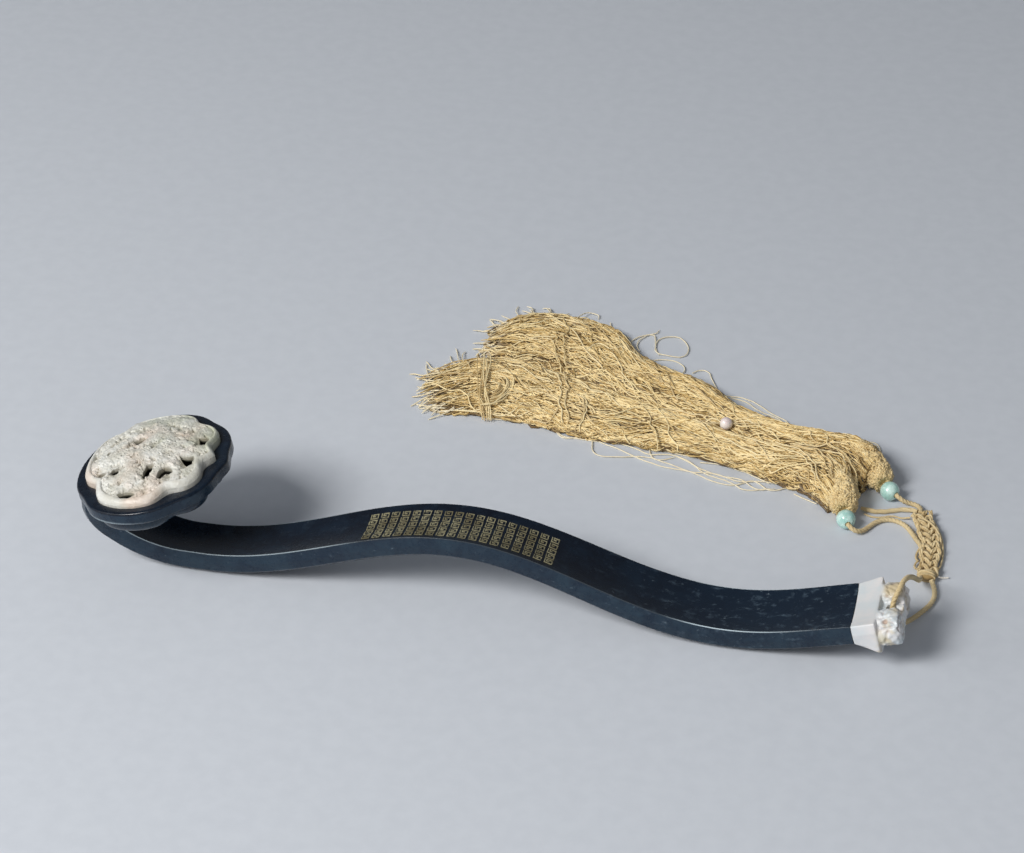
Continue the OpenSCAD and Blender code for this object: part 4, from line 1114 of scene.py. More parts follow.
points, faces = skinOver([inTail(r) for r in ferruleRings()])
ferrule = outwards(newObject("tailFerrule", points, faces))
for side in (-1, 1):
    points, faces = skinOver([inTail(r) for r in lobeRings(side)])
    cut(ferrule, outwards(newObject("lobe", points, faces)), "UNION")
x0, x1, z0, z1 = endSize["long"] - 0.5, endSize["long"] + endSize["web"] - 0.5, -halfThick - 4, -halfThick + 4
box = [[(x0, -10.8, z0), (x0, 10.8, z0), (x0, 10.8, z1), (x0, -10.8, z1)],
       [(x1, -10.8, z0), (x1, 10.8, z0), (x1, 10.8, z1), (x1, -10.8, z1)]]
cut(ferrule, prism("web", inTail(box[0]), inTail(box[1])), "UNION")
remesh = ferrule.modifiers.new("remesh", "REMESH")
remesh.mode, remesh.voxel_size = "VOXEL", endSize["voxel"] * mm
soften = ferrule.modifiers.new("soften", "SMOOTH")
soften.factor, soften.iterations = 0.5, 16
settled(ferrule)

# carved lines of the scrolls, in the tail's frame: points, reach and depth
carving = []
blockEnd, lobe = endSize["long"], endSize["lobe"]
for side in (-1, 1):
    y0, z0 = side * endSize["lobeY"], -halfThick
    face = endSize["long"] + endSize["lobeThick"] - endSize["sink"]
    spiral = [(face, y0 + side * r * math.cos(t), z0 + r * math.sin(t))
              for t, r in zip(np.linspace(0.4, 10.5, 60), np.linspace(7.2, 1.0, 60))]
    carving.append((spiral, 1.0, 1.1))
    for turn, lean in ((1.9, 0.5), (2.7, -0.3), (3.6, 0.4), (1.0, -0.6), (5.0, 0.3)):
        edge = [(blockEnd + 0.5 + s * (endSize["lobeThick"] - 1.5), y0 - side * lobe * math.cos(turn + lean * s),
                 z0 + lobe * math.sin(turn + lean * s)) for s in np.linspace(0, 1, 20)]
        carving.append((edge, 0.95, 0.8))
    belt = [(blockEnd + 4.2 + 1.2 * math.sin(3 * t), y0 + lobe * math.cos(t), z0 + lobe * math.sin(t))
            for t in np.linspace(0.2, 2 * math.pi, 70)]
    carving.append((belt, 0.8, 0.6))
pits = [((blockEnd + 4.4, -15.6, -halfThick + 7.0), 1.5, 1.7), ((blockEnd + 3.4, -14.0, -halfThick + 8.2), 1.3, 0.8),
        ((blockEnd + 5.5, 14.5, -halfThick + 8.4), 2.2, 1.2)]
shape = corners(ferrule)
normals = np.zeros(len(shape) * 3, np.float32)
ferrule.data.vertices.foreach_get("normal", normals)
normals = normals.reshape(-1, 3)
sunk = np.zeros(len(shape))
for line, reach, depth in carving:
    line = inTail(np.array(line)) / mm
    away = np.min(np.linalg.norm(shape[:, None, :] / mm - line[None, :, :], axis=2), axis=1)
    sunk = np.maximum(sunk, depth * np.exp(-(away / reach) ** 2))
for spot, reach, depth in pits:
    away = np.linalg.norm(shape / mm - inTail(np.array(spot)) / mm, axis=1)
    sunk = np.maximum(sunk, depth * np.exp(-(away / reach) ** 2))
inTailX = ((shape[:, 0] / mm - tailX) * math.cos(tailAngle)
           + (shape[:, 2] / mm - topHeight(tailX)) * math.sin(tailAngle))
a, b, c = (shape / mm).T
sunk += 0.4 * (1 + np.sin(0.9 * a + 1.4 * np.sin(0.7 * b)) * np.sin(1.1 * c + 0.8 * b) * np.cos(0.6 * b + 0.5 * a))
sunk *= np.clip((inTailX - endSize["long"]) / 1.2, 0, 1)
shape = shape - normals * sunk[:, None] * mm
ferrule.data.vertices.foreach_set("co", shape.astype(np.float32).ravel())
addAttribute(ferrule, "carvedDepth", sunk)
ferrule.data.update()
cut(ferrule, tailRod("hole", 4.05, -3.0, 8.05))
cut(ferrule, tailRod("eye", endSize["eye"], -halfThick - 13.5, -halfThick + 13.5, "z",
                     blockEnd + endSize["eyeIn"]))
shaded(ferrule, 40)

# its finish: cool white, cream and russet round the scrolls
ferruleStone = Finish("ferruleJade")
cloud = ferruleStone.noise(70.0, 4.0, 0.55)
mist = ferruleStone.noise(230.0, 4.0, 0.6)
depthUnder = ferruleStone.attribute("carvedDepth")
colour = cloud.between(0.3, 0.7).tinted((0.60, 0.65, 0.67), (0.74, 0.71, 0.70))
creamy = ferruleStone.noise(110.0, 3.0, 0.5, at=ferruleStone.stretched(1, 1, 1, (0.2, 0.7, 0.1)))
lobeShare = (ferruleStone.place.axis("X") * 100.0 - 19.1).between(0.0, 0.5)
colour = (creamy.between(0.5, 0.66) * lobeShare * 0.75).tinted(colour, (0.56, 0.47, 0.31))
backLobe = ferruleStone.place.axis("Y").between(0.002, 0.012) * lobeShare
colour = (backLobe * creamy.between(0.35, 0.6) * 0.6).tinted(colour, (0.55, 0.49, 0.38))
for spot, reach, share, tint in (((endSize["long"] + 2.0, -16.5, -halfThick - 1.0), 5.5, 0.8, (0.66, 0.60, 0.40)),
                                 ((endSize["long"] + 6.5, 9.0, -halfThick + 8.0), 8.0, 0.9, (0.52, 0.42, 0.25))):
    near = ferruleStone.place.vector("DISTANCE", ferruleStone.place, tuple(inTail(np.array(spot))), out=0)
    near = near + (mist - 0.5) * 0.004
    colour = ((1 - near.between(reach * mm * 0.3, reach * mm)) * share).tinted(colour, tint)
crevice = depthUnder.between(0.75, 1.6)
colour = (crevice * 0.62).tinted(colour, (0.42, 0.27, 0.21))
normal = ferruleStone.bump(ferruleStone.noise(500.0, 3.0, 0.6), 0.00003)
normal = ferruleStone.bump(ferruleStone.noise(150.0, 3.0, 0.6) * lobeShare, 0.0005, normal)
ferrule.data.materials.clear()
ferrule.data.materials.append(ferruleStone.done(
    colour, 0.32 + 0.14 * mist + 0.25 * crevice, normal, Coat_Weight=0.1, Coat_Roughness=0.2,
    Subsurface_Weight=0.12, Subsurface_Radius=(0.004, 0.0035, 0.003), Subsurface_Scale=0.4))
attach(ferrule, "scepter")
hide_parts("tail_ferrule")
print("ferrule: %d faces" % len(ferrule.data.polygons))

# the flat plait between the whipping and the two leads: five cords, each of a few threads
plait = {
    "cords": 5, "threads": 3, "threadRadius": 0.62, "cordTwist": 0.62, "half": 4.7, "lift": 1.25,
    "period": 27.0, "middle": 2.75,
}
braidRoute = [(.2106, .063), (.2107, .067), (.2106, .071), (.2104, .078), (.210, .085), (.209, .092),
              (.207, .099), (.2046, .106), (.2024, .113)]


def plaitTree():
    tree, start, given = newTree("flatPlait", [
        ("Cords", "Int", 5), ("Threads", "Int", 3), ("Thread radius", "Float", 0.0006),
        ("Cord radius", "Float", 0.0006), ("Half width", "Float", 0.0047), ("Lift", "Float", 0.00125),
        ("Turns", "Float", 2.0), ("Twists", "Float", 9.0), ("Middle height", "Float", 0.0027)])
    line = start.node("GeometryNodeMeshToCurve", {}, {"Mesh": given["Geometry"]})
    copies = line.copied(given["Cords"] * given["Threads"])
    number = copies.also("Duplicate Index")
    copies = copies.stored("threadNo", number, "CURVE")
    number = start.named("threadNo")
    cord = start.maths("MODULO", number, given["Cords"])
    ply = start.maths("FLOOR", number / given["Cords"])
    part = start.node("GeometryNodeSplineParameter", out="Factor")
    angle = (part * given["Turns"] + cord / given["Cords"]) * (2 * math.pi)
    swing = start.maths("SINE", angle)
    over = start.maths("SINE", angle * 4.0)
    twist = (part * given["Twists"] + ply / given["Threads"]) * (2 * math.pi)
    side = swing * given["Half width"] * (0.86 + 0.14 * start.maths("COSINE", part * 19.0))
    side = side + start.maths("COSINE", twist) * given["Cord radius"]
    up = over * given["Lift"] + start.maths("SINE", twist) * given["Cord radius"] + given["Middle height"]
    tangent = start.node("GeometryNodeInputTangent")
    place = start.node("GeometryNodeInputPosition")
    moved = start.joined(place.axis("X") + tangent.axis("Y") * side, place.axis("Y") - tangent.axis("X") * side,
                         start.maths("MAXIMUM", up, given["Thread radius"]))
    woven = start.node("GeometryNodeSetPosition", {}, {"Geometry": copies, "Position": moved})
    tint = start.chance(0.45, 1.2, 5, number)
    woven = woven.stored("threadTint", tint)
    ring = start.node("GeometryNodeCurvePrimitiveCircle", {}, {"Resolution": 6, "Radius": given["Thread radius"]})
    tube = start.node("GeometryNodeCurveToMesh", {}, {"Curve": woven, "Profile Curve": ring, "Fill Caps": True})
    closeTree(tube, given["Material"])
    return tree


line, length = curveThrough([(x, y, 0.0) for x, y in braidRoute], 0.0002)
braid = polyline("braidedKnot", line)
grown(braid, plaitTree(), {
    "Cords": plait["cords"], "Threads": plait["threads"], "Thread radius": plait["threadRadius"] * mm,
    "Cord radius": plait["cordTwist"] * mm, "Half width": plait["half"] * mm, "Lift": plait["lift"] * mm,
    "Turns": length / mm / plait["period"], "Twists": length / mm / 7.5, "Middle height": plait["middle"] * mm,
    "Material": silkCord})
shaded(braid)

# a thread's loops stand out at the plait's sides
sideLoops = [
    [(204.9, 73.0, 2.2), (203.9, 75.5, 1.6), (203.6, 79.0, 1.2), (204.2, 82.5, 1.6), (205.2, 84.8, 2.4)],
    [(204.8, 66.0, 2.4), (203.9, 68.2, 1.8), (204.0, 71.0, 1.6), (205.0, 73.2, 2.2)],
    [(214.9, 66.0, 2.4), (216.2, 70.5, 1.6), (216.8, 78.0, 1.3), (216.4, 86.0, 1.4), (215.0, 93.5, 1.8),
     (212.6, 100.5, 2.2), (209.4, 107.0, 2.6), (206.6, 111.5, 2.8)],
    [(215.0, 86.0, 1.2), (214.4, 92.0, 3.4), (211.4, 98.6, 4.6), (207.6, 103.0, 5.0), (203.6, 107.0, 4.2)],
    [(204.2, 91.5, 1.5), (203.0, 98.0, 1.6), (200.4, 104.8, 1.7), (199.0, 110.0, 1.9), (199.8, 113.6, 2.2)],
]


def threadAlong(name, route, radius, material, turns=0.0, tint=None, sides=8, depth=0.0, tip=0.0):
    # one thread; its tint is kept as an attribute
    line, _ = curveThrough(np.array(route) * mm, 0.0006)
    obj = polyline(name, line)
    grown(obj, twistedCord, {"Radius": radius * mm, "Sides": sides, "Ply depth": depth, "Turns per metre": turns,
                             "Plies": 2.0, "Tip taper": tip, "Material": material})
    addAttribute(obj, "threadTint", np.full(len(obj.data.vertices), 0.5 if tint is None else tint))
    return obj


loops = [threadAlong("loop", r, 0.55, silkCord, 300, 0.9) for r in sideLoops]
# the front lead runs on into the plait, and a flat core fills it
loops.append(threadAlong("runOn", [(201.7, 91.7, 2.2), (202.5, 90.1, 2.4), (204.3, 86.6, 2.9), (206.2, 82.0, 3.0)],
                         1.3, silkCord, 150, 0.95, 18, 0.24))
# painted shade: the flat filling under the plait is given a dark tone
for shift in (-3.1, -1.1, 1.1, 3.1):
    loops.append(threadAlong("filling", [(x / mm + shift * (1 - 0.25 * (k > 6)), y / mm, 2.0) for k, (x, y) in
                                         enumerate(braidRoute)], 1.15, silkCord, 200, 0.15, 10, 0.2))
braid = joinedUp(braid, *loops)
shaded(braid)
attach(braid, "scepter")
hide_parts("braided_knot")

# the whipping: a thread wound round the cord's ends over a short core
whip = {
    "halfWide": 4.8, "halfHigh": 2.8, "start": 58.2, "end": 62.8, "middleX": 210.6, "thread": 0.5, "turns": 5.2,
}
turns = np.linspace(0, 2 * math.pi * whip["turns"], 420)
inset = whip["thread"]
winding = []
for k, t in enumerate(turns):
    share = k / (len(turns) - 1)
    wobble = 1 + 0.03 * math.sin(5.3 * t) * math.sin(1.7 * t)
    y = whip["start"] + inset + (whip["end"] - whip["start"] - 2 * inset) * share + 0.25 * math.sin(t * 2.3)
    winding.append((whip["middleX"] + (whip["halfWide"] - inset) * wobble * math.cos(t), min(max(y, 58.7), 62.4),
                    0.2 + whip["halfHigh"] + (whip["halfHigh"] - inset) * wobble * math.sin(t)))
wrap = threadAlong("knotWrap", winding[::3], whip["thread"], silkCord, 300, 0.7)
core = []
for y in np.linspace(whip["start"] + 0.3, whip["end"] - 0.3, 5):
    core.append([((whip["middleX"] + 3.9 * math.cos(t)) * mm, y * mm,
                  (0.2 + whip["halfHigh"] + 1.95 * math.sin(t)) * mm)
                 for t in np.linspace(0, 2 * math.pi, 32, endpoint=False)])
points, faces = skinOver(core)
plug = outwards(newObject("plug", points, faces, material=silkCord))
# painted shade: the core inside the winding is given a dark tone
addAttribute(plug, "threadTint", np.full(len(points), 0.1))
extras = [threadAlong("over", r, 0.5, silkCord, 300, 0.95) for r in [
    [(206.4, 60.0, 1.2), (206.6, 60.6, 4.2), (209.4, 61.4, 5.6), (212.8, 62.2, 5.3), (214.9, 63.0, 3.2)],
    [(214.7, 59.6, 1.0), (214.4, 60.2, 4.4), (211.2, 60.6, 5.7), (207.6, 61.2, 5.2), (206.0, 62.0, 2.6)]]]
wrap = joinedUp(wrap, plug, *extras)
shaded(wrap)
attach(wrap, "scepter")
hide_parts("knot_wrap")
print("braid and whipping: made")

# netted heads of the tassels: a barrel of silk under a net of knotted thread
headWays = [Vector((-0.5, 0.866, 0)).normalized(), Vector((-0.17, 0.985, 0)).normalized()]
netSize = {"radius": 8.0, "axisHigh": 8.2, "backLong": 30.0, "frontLong": 25.0, "strands": 26,
            "threadRadius": 0.56, "climb": 0.8}
# a head's outline: share of its radius, share of its length
headProfile = [(0.30, 0.0), (0.62, 0.004), (0.80, 0.05), (0.93, 0.15), (1.0, 0.34), (1.0, 0.68), (0.93, 0.9),
               (0.8, 1.0)]


def netTree():
    # threads climb a barrel both ways; each point's place is worked out from its share of the climb
    tree, start, given = newTree("knottedNet", [
        ("Strands", "Int", 22), ("Climb", "Float", 0.9), ("Thread radius", "Float", 0.0004),
        ("Direction", "Float", 1.0), ("Seed", "Int", 3)])
    line = start.node("GeometryNodeMeshToCurve", {}, {"Mesh": given["Geometry"]})
    copies = line.copied(given["Strands"])
    copies = copies.stored("threadNo", copies.also("Duplicate Index"), "CURVE")
    number = start.named("threadNo")
    part = start.node("GeometryNodeSplineParameter", out="Factor")
    place = start.node("GeometryNodeInputPosition")
    shift = start.chance(-0.12, 0.12, given["Seed"], number)
    angle = ((number + shift) / given["Strands"] + part * given["Climb"] * given["Direction"]) * (2 * math.pi)
    weave = start.maths("SINE", part * given["Climb"] * given["Strands"] * (2 * math.pi)) * given["Direction"]
    wander = start.node("ShaderNodeTexNoise", {}, {
        "Vector": start.joined(part * 9.0, number * 3.7, given["Direction"]), "Scale": 1.0, "Detail": 1.0})
    angle = angle + (wander - 0.5) * 0.9
    lumps = start.node("ShaderNodeTexNoise", {}, {
        "Vector": start.joined(part * 5.0, start.maths("SINE", angle) * 1.6, start.maths("COSINE", angle) * 1.6),
        "Scale": 1.4, "Detail": 1.0})
    out = place.axis("Y") + weave * 0.0004 + (wander - 0.5) * 0.0012 + (lumps - 0.55) * 0.0052
    ringed = start.joined(place.axis("X"), out * start.maths("COSINE", angle), out * start.maths("SINE", angle))
    net = start.node("GeometryNodeSetPosition", {}, {"Geometry": copies, "Position": ringed})
    tint = start.chance(0.55, 1.2, given["Seed"] + 1, number)
    net = net.stored("threadTint", tint)
    bulge = start.maths("ABSOLUTE", start.maths("SINE", part * given["Climb"] * given["Strands"] * (2 * math.pi)))
    ring = start.node("GeometryNodeCurvePrimitiveCircle", {}, {"Resolution": 5, "Radius": given["Thread radius"]})
    tube = start.node("GeometryNodeCurveToMesh", {}, {
        "Curve": net, "Profile Curve": ring, "Scale": 0.62 + bulge ** 4.0 * 1.05, "Fill Caps": True})
    closeTree(tube, given["Material"])
    return tree


net = netTree()


def placeHead(end, headWay):
    # a head's own X runs from the cord's end into the tassel
    start = Vector((end[0], end[1], netSize["axisHigh"] * mm)) + headWay * 0.4 * mm
    turn = Matrix((headWay, Vector((-headWay.y, headWay.x, 0)), Vector((0, 0, 1)))).transposed().to_4x4()
    return Matrix.Translation(start) @ turn


def makeTasselHead(name, node, end, headWay, long, seed):
    outline, _ = curveThrough([(share * long, r * (netSize["radius"] - 0.75), 0) for r, share in headProfile], 0.4)
    place = placeHead(end, headWay)
    parts = []
    for direction in (1.0, -1.0):
        strand = polyline("strand", [(x * mm, y * mm, 0) for x, y, _ in outline[1:]])
        grown(strand, net, {"Strands": netSize["strands"],
                            "Climb": netSize["climb"], "Thread radius": netSize["threadRadius"] * mm,
                            "Direction": direction, "Seed": seed, "Material": silkNet})
        strand.data.transform(place)
        parts.append(strand)
    rng = np.random.default_rng(seed)
    rings = []
    for x, y, _ in outline:
        turns = np.linspace(0, 2 * math.pi, 40, endpoint=False)
        r = y - 1.5 + 0.15 * rng.normal(size=40)
        rings.append(np.stack([np.full(40, x), r * np.cos(turns), r * np.sin(turns)], -1) * mm)
    points, faces = skinOver(rings)
    coreBody = outwards(newObject("core", points, faces, material=silkNet))
    coreBody.data.transform(place)
    # painted shade: the silk barrel under the net is given a darker tone than the net's threads
    addAttribute(coreBody, "threadTint", np.full(len(points), 0.25))
    # short wraps close the net at the cord's end
    for k, (radius, along) in enumerate([(2.6, 0.9), (3.4, 1.5), (4.3, 1.9)]):
        ring = [(along + 0.2 * math.sin(5 * t), radius * math.cos(t), radius * math.sin(t))
                for t in np.linspace(0, 2 * math.pi, 26)]
        loop = threadAlong("wrap", ring, 0.5, silkNet, 0, 0.8, 6)
        loop.data.transform(place)
        parts.append(loop)
    obj = joinedUp(coreBody, *parts)
    obj.name = obj.data.name = name
    shaded(obj)
    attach(obj, "scepter")
    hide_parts(node)
    return obj


headBack = makeTasselHead("tasselHeadBack", "tassel_head_back", leadBackRoute[-1], headWays[0], netSize["backLong"], 21)
headFront = makeTasselHead("tasselHeadFront", "tassel_head_front", leadFrontRoute[-1], headWays[1],
                           netSize["frontLong"], 22)
print("tassel heads: %d and %d faces" % (len(headBack.data.polygons), len(headFront.data.polygons)))

# skirts of crinkled silk threads; stations give front edge x, y, back edge x, y, and pile height
skirtFront = [
    (155, 106, 168.5, 116, 15.6), (149, 113.6, 167.5, 129, 15), (140.5, 120, 161, 143, 13.5), (130, 124, 147, 151, 12),
    (118, 128, 123.5, 153, 11), (99.5, 134.5, 98.5, 159, 10.4), (74, 140.6, 73.5, 169, 9.6),
    (48.5, 143.4, 48.5, 179, 9),
    (20, 144.5, 18.5, 191, 8.6), (-8, 150.6, -11.5, 201, 8.4), (-39, 153.2, -41.5, 207, 8),
    (-56, 152, -62, 199, 6.4), (-72, 151, -80, 180, 4)]
skirtBack = [
    (170, 125.5, 178.5, 146, 15.6), (161, 140, 171, 160, 14.4), (147.5, 149, 159, 166, 13), (136, 151.6, 145, 168, 12),
    (118.5, 152.6, 124, 172.5, 11), (98.5, 158.6, 99, 184.5, 10.4), (73.5, 168.6, 74, 206, 9.8),
    (52, 178, 51, 216, 9.2),
    (36, 184.5, 35, 226, 8.8), (18.5, 191.6, 18.5, 248, 8.4), (-11.5, 201.6, -12.5, 258.5, 8.2),
    (-37.5, 207, -38.5, 253, 7), (-55, 213, -54, 234, 4)]
skirtSizes = {
    "wander": 0.5, "crinkle": 6.0, "gap": 0.3, "shortest": 0.88, "lockSize": 6,
    # layers of a skirt: threads, points along each, thread radius, lowest and highest share of the pile
    "Under": (300, 70, 0.72, 0.0, 0.5), "Middle": (225, 130, 0.44, 0.35, 0.85), "Over": (210, 150, 0.4, 0.75, 1.0),
}


def threadsTree():
    tree, start, given = newTree("threadBundle", [
        ("Threads", "Int", 300), ("Seed", "Int", 1), ("Thread radius", "Float", 0.0005),
        ("Wander", "Float", 0.3), ("Crinkle", "Float", 0.0012), ("Gap", "Float", 0.00025),
        ("Low layer", "Float", 0.0), ("High layer", "Float", 1.0), ("Shortest", "Float", 0.93),
        ("Lock size", "Float", 6.0)])
    seed = given["Seed"]
    line = start.node("GeometryNodeMeshToCurve", {}, {"Mesh": given["Geometry"]})
    copies = line.copied(given["Threads"])
    copies = copies.stored("threadNo", copies.also("Duplicate Index"), "CURVE")
    number = start.named("threadNo")
    lock = start.maths("FLOOR", number / given["Lock size"])

    def chance(low, high, offset, who=number):
        return start.chance(low, high, seed + offset, who)

    def drift(who, pace, offset, detail=1.0):
        # a slow or quick wave along a thread or a lock of threads, about -0.5 to 0.5
        spot = start.joined(part * pace, who * 5.37 + offset, start.maths("MULTIPLY", seed, 1.7))
        return start.node("ShaderNodeTexNoise", {}, {"Vector": spot, "Scale": 1.0, "Detail": detail}) - 0.5

    part = start.node("GeometryNodeSplineParameter", out="Factor")
    front = start.named("frontEdge", "FLOAT_VECTOR")
    back = start.named("backEdge", "FLOAT_VECTOR")
    pile = start.named("pile")
    place = chance(-0.02, 1.02, 11, lock) + chance(-0.07, 0.07, 21)
    roam = given["Wander"] * chance(0.5, 1.6, 12, lock) * part.between(-0.02, 0.16)
    across = place + drift(lock, 3.0, 0.0) * roam * 2.0 + drift(lock, 9.0, 40.0) * roam * 0.95
    across = across + drift(number, 8.0, 60.0) * roam * 0.85
    across = start.maths("PINGPONG", across, 1.0)
    layer = chance(given["Low layer"], given["High layer"], 13, lock) + chance(-0.12, 0.12, 22)
    layer = (layer + drift(lock, 7.0, 80.0) * 0.7 + drift(number, 16.0, 95.0) * 0.4).clip(0.0, 1.0)
    bow = start.maths("SQRT", (1.0 - (across * 2.0 - 1.0) ** 2.0).clip(0.0, 1.0))
    room = pile * (0.25 + 0.75 * bow) - given["Thread radius"] * 2.0
    height = given["Gap"] + given["Thread radius"] + layer * room
    flat = start.node("ShaderNodeMix", {"data_type": "VECTOR"}, {0: across, 4: front, 5: back})
    crimp = given["Crinkle"] * part.between(0.0, 0.06) * chance(0.4, 1.4, 14)
    quick, slow = chance(20.0, 40.0, 15), chance(11.0, 24.0, 19, lock)
    sideways = drift(number, quick, 160.0) + drift(lock, slow, 220.0)
    moved = start.joined(flat.axis("X") + drift(number, quick, 120.0) * crimp * 0.7,
                         flat.axis("Y") + sideways * crimp,
                         start.maths("MAXIMUM", height + drift(number, quick, 200.0) * crimp * 0.5,
                                     given["Thread radius"]))
    laid = start.node("GeometryNodeSetPosition", {}, {"Geometry": copies, "Position": moved})
    bleach = start.maths("MAXIMUM", part.between(0.93, 1.0) * chance(-0.5, 1.0, 17).clip(),
                         chance(0.0, 1.0, 23).between(0.93, 0.99) * 0.2)
    # painted shade: threads low in the pile get a darker tone and threads on top a lighter one, besides each thread's
    # and each lock's own random tone
    tint = chance(-0.3, 0.65, 16) + chance(-0.12, 0.12, 24, lock) + layer ** 1.5 * 0.55
    laid = laid.stored("threadTint", tint)
    laid = laid.stored("bleached", bleach)
    laid = start.node("GeometryNodeTrimCurve", {}, {
        "Curve": laid, 2: 0.0, 3: chance(given["Shortest"], 1.0, 18, lock) - chance(0.0, 0.03, 28)})
    ring = start.node("GeometryNodeCurvePrimitiveCircle", {}, {"Resolution": 3, "Radius": given["Thread radius"]})
    tube = start.node("GeometryNodeCurveToMesh", {}, {"Curve": laid, "Profile Curve": ring, "Fill Caps": True})
    closeTree(tube, given["Material"])
    return tree


threads = threadsTree()

skirtSilk = Finish("skirtSilk")
tint = skirtSilk.attribute("threadTint")
bleached = skirtSilk.attribute("bleached")
cloud = skirtSilk.noise(30.0, 3.0)
fine = skirtSilk.noise(420.0, 2.0)
share = (tint * 1.1 - 0.06 + (cloud - 0.5) * 0.6 + (fine - 0.5) * 0.6).clip()
# low shares give dark brown, which is partly painted shade under the threads
colour = share.between(0.0, 0.5).tinted((0.155, 0.09, 0.026), (0.62, 0.425, 0.155))
colour = share.between(0.42, 0.9).tinted(colour, (0.93, 0.755, 0.41))
colour = (bleached * 0.8).tinted(colour, (0.86, 0.81, 0.68))
twistLine = skirtSilk.noise(1900.0, 2.0, 0.6)
skirtThread = skirtSilk.done(colour, 0.42 + 0.2 * fine, skirtSilk.bump(twistLine, 0.00007),
                             Specular_IOR_Level=0.5, Sheen_Weight=0.15, Sheen_Roughness=0.4)


def skirtRows(stations, points):
    # the stations, evened out along the skirt's middle line
    rows, _ = curveThrough(np.array(stations) * mm, 0.002)
    away = np.concatenate([[0], np.cumsum(np.linalg.norm(np.diff((rows[:, :2] + rows[:, 2:4]) / 2, axis=0), axis=1))])
    return np.column_stack([np.interp(np.linspace(0, away[-1], points), away, rows[:, k]) for k in range(5)])


def skirtLine(name, stations, points):
    # the middle line of a skirt, with its edges and pile height at each point
    rows = skirtRows(stations, points)
    middle = [((a + c) / 2, (b + d) / 2, h / 2) for a, b, c, d, h in rows]
    obj = polyline(name, middle)
    addAttribute(obj, "frontEdge", [(a, b, 0) for a, b, c, d, h in rows], "FLOAT_VECTOR")
    addAttribute(obj, "backEdge", [(c, d, 0) for a, b, c, d, h in rows], "FLOAT_VECTOR")
    addAttribute(obj, "pile", rows[:, 4])
    return obj


def makeSkirt(name, stations, node, seed):
    for layer in ("Under", "Middle", "Over"):
        count, points, radius, low, high = skirtSizes[layer]
        obj = skirtLine(name + layer, stations, points)
        seed += 40
        grown(obj, threads, {
            "Threads": count, "Seed": seed, "Thread radius": radius * mm,
            "Wander": skirtSizes["wander"], "Crinkle": skirtSizes["crinkle"] * mm, "Gap": skirtSizes["gap"] * mm,
            "Low layer": low, "High layer": high, "Shortest": skirtSizes["shortest"],
            "Lock size": skirtSizes["lockSize"], "Material": skirtThread})
        shaded(obj)
        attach(obj, "scepter")
        if layer == "Under":
            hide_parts(node)
        print(obj.name, len(obj.data.polygons), "faces")


makeSkirt("skirtFront", skirtFront, "tassel_skirt_front", 301)
makeSkirt("skirtBack", skirtBack, "tassel_skirt_back", 502)

# single threads that leave the skirts, lie across them or stand out at their ends
straySizes = {"radius": 0.34, "crossRadius": 0.4, "jitter": 0.5, "farthest": 266.5}
straysFront = [
    [(-40.3, 155.8), (-34.1, 152), (-21.9, 152.5), (-9.4, 151), (1, 152.2), (8, 144.4), (16.4, 143.6),
     (25.6, 143), (34.4, 144.1), (48, 144), (63.3, 141.8), (78.5, 140.2), (88.8, 140.9)],
    [(2.5, 152.5), (9, 143.3), (19.1, 145.5), (28.5, 143.6), (41.5, 138.3), (54.7, 131.8), (67.4, 127.3),
     (80.8, 126.5), (92.4, 127.7), (106.4, 123.1), (117.7, 125.7), (128, 125.4), (138.2, 125.1)],
    [(24.1, 143.2), (26, 135.1), (30.9, 131.2), (42.6, 132.5), (54.1, 134.8), (66.7, 131.1), (80.8, 126.5),
     (93.6, 120.3), (104, 119.6), (113.4, 125.2), (123, 119.2), (132.6, 123.9), (141.3, 123.8)],
    [(31.3, 144.8), (40.5, 143.6), (48.4, 141.4), (56.6, 138), (65.2, 139.9), (72.8, 138.9), (84.5, 131.1),
     (96.9, 127.2), (107.4, 125.9), (117.2, 119.2), (125.7, 121.1)],
    [(83.6, 136.1), (93.8, 137.1), (106.2, 133.4), (117.3, 128.1), (122.2, 124.6)],
    [(136.3, 118.3), (142.6, 114.7), (148.7, 112.3)],
    [(50.8, 161.1), (54.1, 145.8), (56.9, 135.9), (61.8, 133.4), (70, 137.8)],
    [(71.3, 138.6), (79.7, 133.2), (88.4, 125.6), (99.2, 122.1), (110.4, 116.4), (122.9, 120.4)],
    [(-40.3, 155.8), (-43.7, 161.9), (-46.4, 166.8), (-46.4, 172.3)],
    [(-58.9, 153), (-54, 158.2), (-49, 163.4), (-44, 165.1)],
]
straysBack = [
    [(24.7, 239.3), (26.8, 245), (31.3, 250.7), (36.3, 253.6), (39.5, 255.8), (39.9, 258.8)],
    [(33, 234.7), (29.9, 241), (31.6, 249), (36.3, 253.6), (39.5, 245.5), (42.4, 234.5), (49, 232.8),
     (56.4, 233.3), (59.1, 239.4), (57.7, 247.2), (52.7, 252.8), (46.5, 252.3), (41.8, 248.4), (41, 240.6),
     (44.2, 233.2)],
    [(25.7, 238.1), (31.7, 231.6), (40.2, 227.7), (47.7, 229.3), (55.7, 228.2), (60.2, 224.1), (60.5, 218.5),
     (57.8, 216.2)],
    [(65.8, 219.1), (70.2, 223.5), (74.7, 221.6), (78.3, 213.9), (81.3, 206.8)],
    [(84.1, 201.8), (92.5, 202), (100.8, 199.4), (109, 193.5), (115.9, 187.7), (122.8, 183.5), (126.7, 177.4)],
    [(89.8, 199.2), (97.8, 197.4), (108, 190), (118.1, 185.2), (121.9, 179.6)],
    [(126.6, 176.3), (135.5, 176.7), (146.6, 171.6), (158.4, 172.1)],
    [(163.8, 170.2), (168.5, 174.1), (173, 171.7), (175.3, 164.8)],
    [(12, 260.1), (15.2, 251.9), (20.6, 248.6), (25.7, 246.6)],
]
